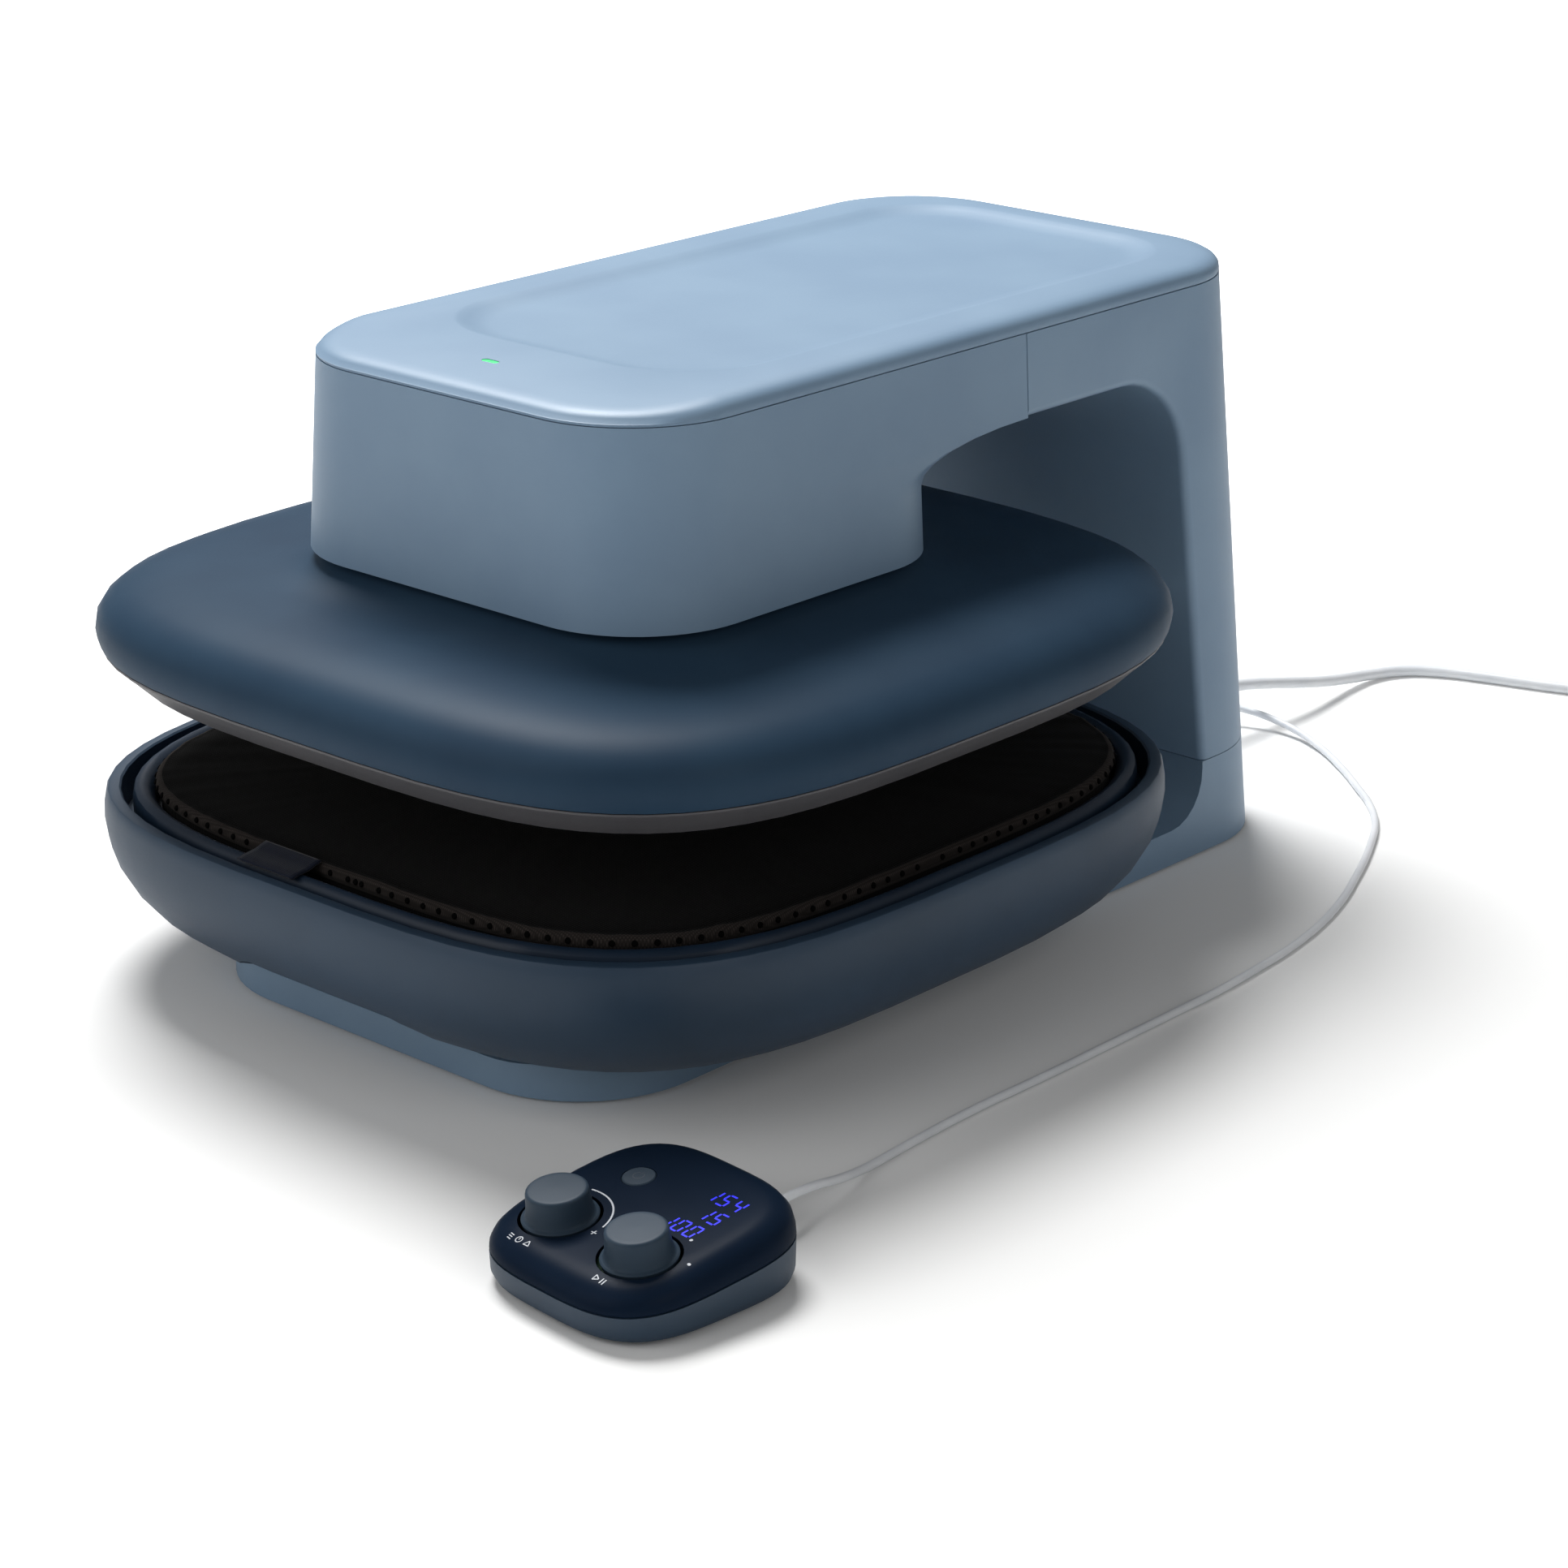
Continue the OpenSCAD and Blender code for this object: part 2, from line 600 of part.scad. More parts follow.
// Turn of the pod on the table, in degrees
pod_turn = -5;
pod_slope = tan(pod_tilt);
pod_seam_z = 16.5;
pod_pad_t = 1;
function pod_ring(inset, z, share) = [for (p = round_plan(pod_half_w - inset, pod_half_l - inset, pod_n))
    [pod_x + p[0] * cos(pod_turn) - p[1] * sin(pod_turn),
     pod_y + p[0] * sin(pod_turn) + p[1] * cos(pod_turn), z + share * pod_slope * p[1]]];
seam_share = 0.58;
module on_pod_face() {
    translate([pod_x, pod_y, pod_h]) rotate([pod_tilt, 0, pod_turn]) children();
}
knob_y = -22;
button_spot = [-20.7, 16.4];
hole_gap = 1.4;
board_top = -16;
board_t = 1.6;
pod_floor_z = 3.5;

module pod_foot() {
    color("#202124") skin([pod_ring(9, 0, 0), pod_ring(9, pod_pad_t, 0)]);
}
module pod_bottom_shell() {
    seam = pod_seam_z;
    color(pod_navy) difference() {
        union() {
            skin([pod_ring(5, pod_pad_t, 0), pod_ring(1.6, pod_pad_t + 1.6, 0), pod_ring(0.3, 6, 0.1),
                pod_ring(0, seam, seam_share), pod_ring(pod_wall, seam, seam_share),
                pod_ring(pod_wall + 0.3, 6, 0.1), pod_ring(pod_wall + 2, pod_floor_z, 0)]);
            intersection() {
                on_pod_face() for (x = [-34, 34], y = [-34, 30])
                    translate([x, y, board_top - board_t - 30]) cylinder(h = 30, r = 3, $fn = 32);
                translate([pod_x - 60, pod_y - 60, pod_floor_z - 1]) cube([120, 120, 40]);
            }
        }
        along_y([pod_exit_x, pod_y + pod_half_l - 12, pod_exit_z], pod_exit_r, pod_exit_r, 24);
    }
}
module pod_top_shell() {
    low = pod_seam_z + seat_gap;
    top = pod_h;
    w = pod_wall;
    color(pod_navy) difference() {
        skin([pod_ring(14, top - w, 1), pod_ring(11, top - w - 0.6, 1), pod_ring(7.5, top - w - 2.2, 1),
            pod_ring(4.4, top - w - 5, 0.9), pod_ring(w + 0.2, top - 10.5, 0.65), pod_ring(w, low,
            seam_share),
            pod_ring(0.5, low, seam_share), pod_ring(0, low + 0.8, seam_share), pod_ring(0.2, top - 9, 0.65),
            pod_ring(1.4, top - 5.2, 0.88), pod_ring(3.6, top - 2.6, 0.97), pod_ring(6.6, top - 1, 1),
            pod_ring(10, top - 0.25, 1), pod_ring(14, top, 1)]);
        on_pod_face() {
            for (x = [-knob_offset, knob_offset]) translate([x, knob_y, -20])
                cylinder(h = 40, r = knob_flange_r + hole_gap, $fn = 96);
            translate([button_spot[0], button_spot[1], -20]) cylinder(h = 40, r = button_r + 0.3, $fn = 64);
        }
    }
}
pod_board_w = pod_half_w - 13.5;
module pod_board() {
    color("#2f6b46") on_pod_face() translate([-pod_board_w, -pod_board_w, board_top - board_t])
        cube([2 * pod_board_w, 1.9 * pod_board_w, board_t]);
}
module pod_display() {
    color("#101418") on_pod_face() translate([2, 4, board_top])
        cube([34, 26, -board_top - pod_wall - 3 * seat_gap]);
}
encoder_h = 6;
shaft_r = 3;
shaft_low = board_top + 4;
shaft_top = knob_h - 4;
module encoder(x) {
    color("#8d9299") on_pod_face() translate([x, knob_y, board_top]) difference() {
        translate([-6, -6, 0]) cube([12, 12, encoder_h]);
        translate([0, 0, 1]) cylinder(h = encoder_h, r = shaft_r + run_gap, $fn = 32);
    }
}
module knob_shaft(x) {
    color(steel) on_pod_face() translate([x, knob_y, shaft_low])
        cylinder(h = shaft_top - shaft_low, r = shaft_r, $fn = 32);
}
flange_t = 2;
module knob(x) {
    flare = knob_flange_r - knob_r - 1.4;
    profile = [[0, -flange_t], [knob_flange_r - 0.4, -flange_t], [knob_flange_r, 0],
        [knob_flange_r - 0.6, 0.6],
        each [for (a = [15:15:75]) [knob_r + 0.9 + flare * (1 - sin(a)), 0.6 + 2.4 * (1 - cos(a))]],
        [knob_r + 0.6, 3.6], [knob_r, knob_h - 1.6],
        each [for (a = [30:30:90]) [knob_r - 1.4 + 1.4 * cos(a), knob_h - 1.6 + 1.3 * sin(a)]],
        [knob_r * 0.4, knob_h - 0.12], [0, knob_h]];
    color("#3a4c5d") on_pod_face() translate([x, knob_y, 0]) difference() {
        rotate_extrude($fn = 96) polygon(profile);
        translate([0, 0, -10]) cylinder(h = 10 + shaft_top + seat_gap, r = shaft_r + run_gap, $fn = 32);
    }
}
module left_encoder() encoder(-knob_offset);
module right_encoder() encoder(knob_offset);
module left_shaft() knob_shaft(-knob_offset);
module right_shaft() knob_shaft(knob_offset);
module left_knob() knob(-knob_offset);
module right_knob() knob(knob_offset);
switch_h = 5;
module button_switch() {
    color("#8d9299") on_pod_face() translate([button_spot[0] - 3, button_spot[1] - 3,
        board_top]) cube([6, 6, switch_h]);
}
module power_button() {
    low = board_top + switch_h + button_travel + 0.1;
    color("#3a4c5d") on_pod_face() translate([button_spot[0], button_spot[1], 0]) rotate_extrude($fn = 64)
        polygon([[0, low], [2.5, low], [2.5, -3], [button_r, -3], [button_r, -0.1],
            [button_r - 0.5, 0.3], [0, 0.5]]);
}
pod_exit_x = 259;
pod_exit_z = 15.5;
pod_exit_r = 4;
pod_exit_y = pod_y + pod_half_l - 6;
pod_gland_end = -189;
module pod_gland() {
    color("#c9ccd0") difference() {
        union() {
            along_y([pod_exit_x, pod_exit_y, pod_exit_z], pod_exit_r - 0.1, pod_exit_r - 0.1, 6.5);
            along_y([pod_exit_x, pod_exit_y + 6.5, pod_exit_z], pod_exit_r - 0.1, cable_d / 2 + 0.6,
                pod_gland_end - pod_exit_y - 6.5);
        }
        along_y([pod_exit_x, pod_exit_y - 1, pod_exit_z], cable_d / 2, cable_d / 2, 4);
    }
}

// Cords

// Centre line of the pod cable, from the pod to the base
cable_route = [[259, -189, 15.5], [259, -182, 15.4], [256, -165, 12.4], [251.8, -145, 7], [247.8, -125, 3],
    [245.5, -104, 2], [244, -80, 2], [243, -44, 2], [243.5, -18, 2], [244, 8, 2], [244, 40, 2], [244, 70, 2],
    [244, 98, 2], [243.8, 125, 2], [242, 153, 2], [237, 199, 2], [226, 244, 2], [209, 287, 2], [190, 327, 2],
    [173, 356, 2], [155, 377, 2], [139, 391, 2], [112, 413, 2.2], [84, 431, 3], [60, 439, 5.4], [36, 437, 9],
    [16, 426, 12], [3, 405, 14.5], [-4, 378, 15.8], [-5, 360, 16], [-5, 353, 16]];
module pod_cable() {
    color("#d4d6d8") tube(cable_route, cable_d / 2, 8);
}
// Centre line of the mains lead, from the base to its coil
lead_route = [[33, 362, 32], [33, 370, 32], [33.4, 388, 31], [34.6, 412, 28.4], [37, 436, 24.8],
    [40, 458, 20.6],
    [42, 481, 15.6], [41.6, 503, 10.8], [40.6, 526, 6.6], [42, 546, 4], [50, 564, 3.3], [67, 577,
    3.3], [88, 585, 3.3],
    [108, 591, 3.3], [131, 598, 3.3], [152, 606, 3.3], [172, 616, 3.3], [188, 624.4, 3.3],
    [203, 628, 3.3], [212, 628, 3.3]];
module power_cord() {
    color("#d4d6d8") tube(lead_route, lead_d / 2, 8);
}
// The coil spirals in on the table, climbs in half a turn and spirals out on top
coil_x = 219;
coil_y = 580;
coil_z = 3.3;
coil_pitch = 8;
coil_rise = 7;
coil_steps = 24;
coil_out_r = coil_in_r + coil_pitch * coil_turns;
coil_total = 2 * coil_turns + 0.5;
function coil_r(t) = coil_in_r + coil_pitch * max(0, coil_turns - t, t - coil_turns - 0.5);
function coil_up(t) = coil_rise * ease((t - coil_turns) / 0.5);
function coil_point(t) = let (a = 90 - 360 * t)
    [coil_x + coil_r(t) * cos(a), coil_y + coil_r(t) * sin(a), coil_z + coil_up(t)];
coil_lead = 7;
coil_tail = 40;
coil_path = concat([[coil_x - coil_lead, coil_y + coil_out_r, coil_z]],
    [for (i = [0:coil_steps * coil_total]) coil_point(i / coil_steps)],
    [for (k = [1:4]) [coil_x + k * coil_tail / 4, coil_y + coil_out_r, coil_z + coil_rise]]);
coil_gap = min([for (i = [0:len(coil_path) - 1], j = [i + 12:1:len(coil_path) - 1])
    norm(coil_path[i] - coil_path[j])]) - lead_d;
module power_cord_coil() {
    echo(least_coil_gap = coil_gap);
    color("#d4d6d8") tube(coil_path, lead_d / 2, 6);
}
plug_x = coil_x + coil_tail;
plug_y = coil_y + coil_out_r;
plug_z = coil_z + coil_rise;
plug_r = plug_z - 0.1;
plug_l = 44;
module on_plug() {
    translate([plug_x, plug_y, plug_z]) rotate([0, 90, 0]) children();
}
module power_plug() {
    color("#d4d6d8") on_plug() difference() {
        rotate_extrude($fn = 64) polygon([[0, 0], [lead_d / 2 + 0.8, 0], [lead_d / 2 + 2, 14],
            [plug_r - 1.5, 18],
            [plug_r, 22], [plug_r, plug_l - 1], [plug_r - 1, plug_l], [0, plug_l]]);
        for (y = [-pin_y, pin_y]) translate([0, y, plug_l - 8]) cylinder(h = 20, r = pin_r, $fn = 32);
    }
}
pin_y = 5;
pin_r = 2.2;
module plug_pins() {
    color("silver") on_plug() for (y = [-pin_y, pin_y]) translate([0, y, plug_l - 8]) {
        cylinder(h = 24, r = pin_r - 0.05, $fn = 32);
        translate([0, 0, 24]) cylinder(h = 1.5, r1 = pin_r - 0.05, r2 = pin_r - 0.9, $fn = 32);
    }
}

foot_pad();
base_shell();
column_shell();
head_shell();
top_cover();
status_light();
steel_frame();
gear_motor();
guide_rods();
lift_screw();
control_board();
lower_tub();
support_frame();
tray();
press_mat();
mat_tab();
platen_cover();
lift_plate();
lift_nut();
guide_bushes();
heat_skirt();
heat_plate();
heating_element();
insulation_slab();
power_gland();
cable_gland();
pod_foot();
pod_bottom_shell();
pod_top_shell();
pod_board();
pod_display();
left_encoder();
right_encoder();
button_switch();
pod_gland();
left_shaft();
left_knob();
right_shaft();
right_knob();
power_button();
pod_cable();
power_cord();
power_cord_coil();
power_plug();
plug_pins();
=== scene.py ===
import json
import math

import bmesh
import bpy
from mathutils import Matrix, Vector, noise
from mathutils.bvhtree import BVHTree


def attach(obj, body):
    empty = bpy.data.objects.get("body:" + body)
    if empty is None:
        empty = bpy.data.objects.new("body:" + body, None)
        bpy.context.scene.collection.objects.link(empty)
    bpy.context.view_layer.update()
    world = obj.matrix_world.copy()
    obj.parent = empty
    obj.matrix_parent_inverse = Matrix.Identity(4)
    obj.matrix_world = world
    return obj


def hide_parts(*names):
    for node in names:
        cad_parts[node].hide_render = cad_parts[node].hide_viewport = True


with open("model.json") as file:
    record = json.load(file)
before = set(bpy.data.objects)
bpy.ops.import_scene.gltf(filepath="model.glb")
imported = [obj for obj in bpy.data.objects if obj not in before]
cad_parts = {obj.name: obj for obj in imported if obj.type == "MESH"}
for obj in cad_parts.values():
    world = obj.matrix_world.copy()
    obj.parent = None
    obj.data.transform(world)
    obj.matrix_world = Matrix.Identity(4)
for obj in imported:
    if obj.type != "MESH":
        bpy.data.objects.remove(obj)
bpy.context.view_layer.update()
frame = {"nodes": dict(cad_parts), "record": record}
mm = 0.001
scene = bpy.context.scene
print("frame loaded:", len(frame["nodes"]), "nodes")

# camera

cameraSetup = {
    "eye": (1229.46, -1261.99, 722.96),
    "target": (44.6, 51.16, 73.96),
    "focalPx": 4959,  # focal length in photo pixels
    "framePx": 1932,
    "sensor": 36,
}


def makeCamera(setup):
    data = bpy.data.cameras.new("camera")
    data.sensor_width = setup["sensor"]
    data.lens = setup["focalPx"] / setup["framePx"] * setup["sensor"]
    data.clip_end = 50
    camera = bpy.data.objects.new("camera", data)
    scene.collection.objects.link(camera)
    eye = Vector(setup["eye"]) * mm
    aim = Vector(setup["target"]) * mm - eye
    camera.location = eye
    camera.rotation_euler = aim.to_track_quat("-Z", "Y").to_euler()
    scene.camera = camera


makeCamera(cameraSetup)
print("camera ready")

# materials


def hexColor(code):
    parts = [int(code[i:i + 2], 16) / 255 for i in (1, 3, 5)]
    linear = [c / 12.92 if c <= 0.04045 else ((c + 0.055) / 1.055) ** 2.4 for c in parts]
    return (*linear, 1)


def addNode(tree, kind, inputs=None, **settings):
    node = tree.nodes.new(kind)
    for key, value in settings.items():
        setattr(node, key, value)
    for key, value in (inputs or {}).items():
        if isinstance(value, bpy.types.NodeSocket):
            tree.links.new(value, node.inputs[key])
        else:
            node.inputs[key].default_value = value
    return node


def startMaterial(name, shaderInputs):
    material = bpy.data.materials.new(name)
    material.use_nodes = True
    tree = material.node_tree
    tree.nodes.clear()
    shader = addNode(tree, "ShaderNodeBsdfPrincipled", shaderInputs)
    addNode(tree, "ShaderNodeOutputMaterial", {"Surface": shader.outputs[0]})
    place = addNode(tree, "ShaderNodeTexCoord").outputs["Object"]
    return material, tree, shader, place


# moulded or cast surface: a faint cloud in the colour, uneven gloss and a fine eroded grain
def mouldedSurface(name, look):
    material, tree, shader, place = startMaterial(name, {"Specular IOR Level": look.get("shine", 0.5)})
    cloud = addNode(tree, "ShaderNodeTexNoise", {
        "Vector": place, "Scale": 1 / (look.get("cloudMm", 60) * mm), "Detail": 3.0})
    tint = addNode(tree, "ShaderNodeValToRGB", {"Fac": cloud.outputs["Fac"]})
    tint.color_ramp.elements[0].position = 0.35
    tint.color_ramp.elements[1].position = 0.65
    tint.color_ramp.elements[0].color = hexColor(look["hex"][0])
    tint.color_ramp.elements[1].color = hexColor(look["hex"][1])
    grain = addNode(tree, "ShaderNodeTexNoise", {
        "Vector": place, "Scale": 1 / (look["grainMm"] * mm), "Detail": 2.0})
    gloss = addNode(tree, "ShaderNodeMapRange", {
        "Value": grain.outputs["Fac"], "To Min": look["rough"] - 0.05, "To Max": look["rough"] + 0.05})
    bump = addNode(tree, "ShaderNodeBump", {
        "Height": grain.outputs["Fac"], "Strength": look["bump"], "Distance": look["grainMm"] * mm * 0.2})
    tree.links.new(tint.outputs["Color"], shader.inputs["Base Color"])
    tree.links.new(gloss.outputs["Result"], shader.inputs["Roughness"])
    tree.links.new(bump.outputs["Normal"], shader.inputs["Normal"])
    return material


# woven cloth: two crossed sets of threads that rise and dip, with fuzz in the colour
def wovenSurface(name, look):
    material, tree, shader, place = startMaterial(name, {
        "Roughness": look["rough"], "Specular IOR Level": 0.1, "Sheen Weight": look["sheen"],
        "Sheen Roughness": 0.5})
    threads = []
    for direction in ("X", "Y"):
        threads.append(addNode(tree, "ShaderNodeTexWave", {
            "Vector": place, "Scale": 0.314 / (look["threadMm"] * mm), "Distortion": 0.6, "Detail": 1.0},
            bands_direction=direction))
    weave = addNode(tree, "ShaderNodeMath", {
        0: threads[0].outputs["Fac"], 1: threads[1].outputs["Fac"]}, operation="MULTIPLY")
    fuzz = addNode(tree, "ShaderNodeTexNoise", {
        "Vector": place, "Scale": 1 / (look["fuzzMm"] * mm), "Detail": 5.0})
    mixed = addNode(tree, "ShaderNodeMath", {
        0: weave.outputs[0], 1: fuzz.outputs["Fac"]}, operation="MULTIPLY")
    tint = addNode(tree, "ShaderNodeValToRGB", {"Fac": mixed.outputs[0]})
    tint.color_ramp.elements[0].color = hexColor(look["hex"][0])
    tint.color_ramp.elements[1].color = hexColor(look["hex"][1])
    tint.color_ramp.elements[1].position = 0.7
    bump = addNode(tree, "ShaderNodeBump", {
        "Height": weave.outputs[0], "Strength": look["bump"], "Distance": look["threadMm"] * mm * 0.3})
    tree.links.new(tint.outputs["Color"], shader.inputs["Base Color"])
    tree.links.new(bump.outputs["Normal"], shader.inputs["Normal"])
    return material


# brushed metal: long fine scratches along one way
def brushedSurface(name, look):
    material, tree, shader, place = startMaterial(name, {"Metallic": 1.0})
    stretch = addNode(tree, "ShaderNodeMapping", {"Vector": place, "Scale": (1.0, 1.0, 0.06)})
    scratch = addNode(tree, "ShaderNodeTexNoise", {
        "Vector": stretch.outputs["Vector"], "Scale": 1 / (look["grainMm"] * mm), "Detail": 4.0})
    tint = addNode(tree, "ShaderNodeValToRGB", {"Fac": scratch.outputs["Fac"]})
    tint.color_ramp.elements[0].color = hexColor(look["hex"][0])
    tint.color_ramp.elements[1].color = hexColor(look["hex"][1])
    gloss = addNode(tree, "ShaderNodeMapRange", {
        "Value": scratch.outputs["Fac"], "To Min": look["rough"] - 0.08, "To Max": look["rough"] + 0.08})
    tree.links.new(tint.outputs["Color"], shader.inputs["Base Color"])
    tree.links.new(gloss.outputs["Result"], shader.inputs["Roughness"])
    return material


# lit mark behind or on the plastic: its own even glow
def litSurface(name, look):
    material, tree, shader, place = startMaterial(name, {
        "Emission Color": hexColor(look["hex"]), "Emission Strength": look["glow"], "Roughness": 0.3})
    shade = addNode(tree, "ShaderNodeTexNoise", {"Vector": place, "Scale": 1 / (2 * mm)})
    tint = addNode(tree, "ShaderNodeValToRGB", {"Fac": shade.outputs["Fac"]})
    tint.color_ramp.elements[0].color = hexColor(look["dark"])
    tint.color_ramp.elements[1].color = hexColor(look["hex"])
    tree.links.new(tint.outputs["Color"], shader.inputs["Base Color"])
    return material


# grain is drawn a little coarser than the real 0.2 mm so that it shows
finishes = {
    "paleBlueAbs": mouldedSurface("paleBlueAbs", {
        "hex": ("#7791aa", "#7c96ae"), "rough": 0.46, "grainMm": 0.7, "bump": 0.12}),
    "darkBlueAbs": mouldedSurface("darkBlueAbs", {
        "hex": ("#26394c", "#2a3e52"), "rough": 0.5, "shine": 0.36, "grainMm": 0.7, "bump": 0.1}),
    "platenAbs": mouldedSurface("platenAbs", {
        "hex": ("#263b4f", "#2a4054"), "rough": 0.5, "shine": 0.1, "grainMm": 0.7, "bump": 0.1}),
    "trayAbs": mouldedSurface("trayAbs", {
        "hex": ("#132335", "#172a3e"), "rough": 0.48, "shine": 0.35, "grainMm": 0.8, "bump": 0.06}),
    "skirtNylon": mouldedSurface("skirtNylon", {
        "hex": ("#434347", "#4a494c"), "rough": 0.5, "grainMm": 0.8, "bump": 0.14}),
    "podTopAbs": mouldedSurface("podTopAbs", {
        "hex": ("#0f1b2b", "#121f30"), "rough": 0.36, "shine": 0.03, "grainMm": 0.5, "bump": 0.1}),
    "podBaseAbs": mouldedSurface("podBaseAbs", {
        "hex": ("#28394a", "#2c3e50"), "rough": 0.48, "shine": 0.35, "grainMm": 0.5, "bump": 0.12}),
    "knobSoftTouch": mouldedSurface("knobSoftTouch", {
        "hex": ("#273644", "#2b3b4a"), "rough": 0.52, "shine": 0.2, "grainMm": 0.4, "bump": 0.1}),
    "footRubber": mouldedSurface("footRubber", {
        "hex": ("#1d1e20", "#242527"), "rough": 0.75, "grainMm": 0.9, "bump": 0.3}),
    # painted shade: near-black that stands for the shade inside the holes of the mat's binding
    "paintedHoleShade": mouldedSurface("paintedHoleShade", {
        "hex": ("#030303", "#060606"), "rough": 0.9, "shine": 0.05, "grainMm": 0.9, "bump": 0.1}),
    "whitePvc": mouldedSurface("whitePvc", {
        "hex": ("#dfe2e6", "#e8eaed"), "rough": 0.42, "grainMm": 0.6, "bump": 0.06, "cloudMm": 25}),
    "coatedPlate": mouldedSurface("coatedPlate", {
        "hex": ("#2a2a2c", "#323234"), "rough": 0.4, "grainMm": 0.6, "bump": 0.12}),
    "boardResin": mouldedSurface("boardResin", {
        "hex": ("#235a38", "#2c6b45"), "rough": 0.4, "grainMm": 0.8, "bump": 0.15}),
    "switchNylon": mouldedSurface("switchNylon", {
        "hex": ("#84898f", "#90959b"), "rough": 0.5, "grainMm": 0.5, "bump": 0.1}),
    "displayGlass": mouldedSurface("displayGlass", {
        "hex": ("#0c1014", "#10151a"), "rough": 0.15, "grainMm": 0.8, "bump": 0.02}),
    "motorPaint": mouldedSurface("motorPaint", {
        "hex": ("#54595f", "#5d6268"), "rough": 0.45, "grainMm": 0.6, "bump": 0.2}),
    "fibreBoard": mouldedSurface("fibreBoard", {
        "hex": ("#cfc8b8", "#ded8ca"), "rough": 0.85, "grainMm": 1.5, "bump": 0.6}),
    "printedInk": mouldedSurface("printedInk", {
        "hex": ("#b9bec6", "#c8ccd2"), "rough": 0.5, "grainMm": 0.3, "bump": 0.05}),
    "faintInk": mouldedSurface("faintInk", {
        "hex": ("#22303d", "#273644"), "rough": 0.5, "grainMm": 0.3, "bump": 0.05}),
    "frameSteel": brushedSurface("frameSteel", {
        "hex": ("#a2a5a9", "#bfc2c6"), "rough": 0.35, "grainMm": 0.5}),
    "heaterSteel": brushedSurface("heaterSteel", {
        "hex": ("#6b625a", "#857a70"), "rough": 0.42, "grainMm": 0.5}),
    "turnedBronze": brushedSurface("turnedBronze", {
        "hex": ("#a07a3c", "#bf9a58"), "rough": 0.32, "grainMm": 0.4}),
    "matCloth": wovenSurface("matCloth", {
        "hex": ("#030303", "#0e0d0c"), "rough": 0.92, "sheen": 0.03,
        "threadMm": 1.3, "fuzzMm": 14, "bump": 0.35}),
    "bandCloth": wovenSurface("bandCloth", {
        "hex": ("#262220", "#443e3b"), "rough": 0.9, "sheen": 0.04,
        "threadMm": 1.1, "fuzzMm": 6, "bump": 0.3}),
    "tabCloth": wovenSurface("tabCloth", {
        "hex": ("#0f1524", "#222b3f"), "rough": 0.8, "sheen": 0.15,
        "threadMm": 0.9, "fuzzMm": 5, "bump": 0.4}),
    "greenLens": litSurface("greenLens", {"hex": "#4de07a", "dark": "#3ac768", "glow": 0.9}),
    "blueSegment": litSurface("blueSegment", {"hex": "#1c1ce8", "dark": "#1515c0", "glow": 1.1}),
}
print("materials ready:", len(finishes))

# cords

cableLook = {
    "diameter": 3.8,
    "exit": (259, -189, 15.5),
    "route": [
        (259, -189, 15.5), (259, -182, 15.4), (256, -165, 12.4), (251.8, -145, 7), (247.8, -125, 3),
        (245.5, -104, 2), (244, -80, 2), (243, -44, 2), (243.5, -18, 2), (244, 8, 2), (244, 40, 2),
        (244, 70, 2), (244, 98, 2), (243.8, 125, 2), (242, 153, 2), (237, 199, 2), (226, 244, 2),
        (209, 287, 2), (190, 327, 2), (173, 356, 2), (155, 377, 2), (139, 391, 2), (112, 413, 2.2),
        (84, 431, 3), (60, 439, 5.4), (36, 437, 9), (16, 426, 12), (3, 405, 14.5), (-4, 378, 15.8),
        (-5, 360, 16), (-5, 353, 16)],
}
leadLook = {
    "diameter": 6.4,
    "route": [
        (33, 362, 32), (33, 370, 32), (33.4, 388, 31), (34.6, 412, 28.4), (37, 436, 24.8), (40, 458, 20.6),
        (42, 481, 15.6), (41.6, 503, 10.8), (40.6, 526, 6.6), (42, 546, 4), (50, 564, 3.3), (67, 577, 3.3),
        (88, 585, 3.3), (108, 591, 3.3), (131, 598, 3.3), (152, 606, 3.3), (172, 616, 3.3), (188, 624.4, 3.3),
        (203, 628, 3.3), (212, 628, 3.3)],
    "coilAt": (219, 580, 3.3),
    "coilInner": 26,
    "coilPitch": 8,
    "coilRise": 7,
    "coilTurns": 2.75,
    "tail": 40,
}


def easeStep(u):
    u = max(0.0, min(1.0, u))
    return u * u * (3 - 2 * u)


def coilPoint(t, look):
    turns = look["coilTurns"]
    radius = look["coilInner"] + look["coilPitch"] * max(0, turns - t, t - turns - 0.5)
    angle = math.radians(90 - 360 * t)
    x, y, z = look["coilAt"]
    return (x + radius * math.cos(angle), y + radius * math.sin(angle),
            z + look["coilRise"] * easeStep((t - turns) / 0.5))


def cordPiece(name, points, diameter, body, finish):
    curve = bpy.data.curves.new(name, "CURVE")
    curve.dimensions = "3D"
    curve.bevel_depth = diameter * mm / 2
    curve.bevel_resolution = 4
    curve.resolution_u = 5
    curve.use_fill_caps = True
    spline = curve.splines.new("BEZIER")
    spline.bezier_points.add(len(points) - 1)
    for knot, point in zip(spline.bezier_points, points):
        knot.co = Vector(point) * mm
        knot.handle_left_type = knot.handle_right_type = "AUTO"
    piece = bpy.data.objects.new(name, curve)
    scene.collection.objects.link(piece)
    curve.materials.append(finishes[finish])
    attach(piece, body)
    return piece


def routeLength(points):
    return sum((Vector(b) - Vector(a)).length for a, b in zip(points, points[1:])) * mm


podCable = cordPiece("podCable", cableLook["route"], cableLook["diameter"], "housing", "whitePvc")
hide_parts("pod_cable")

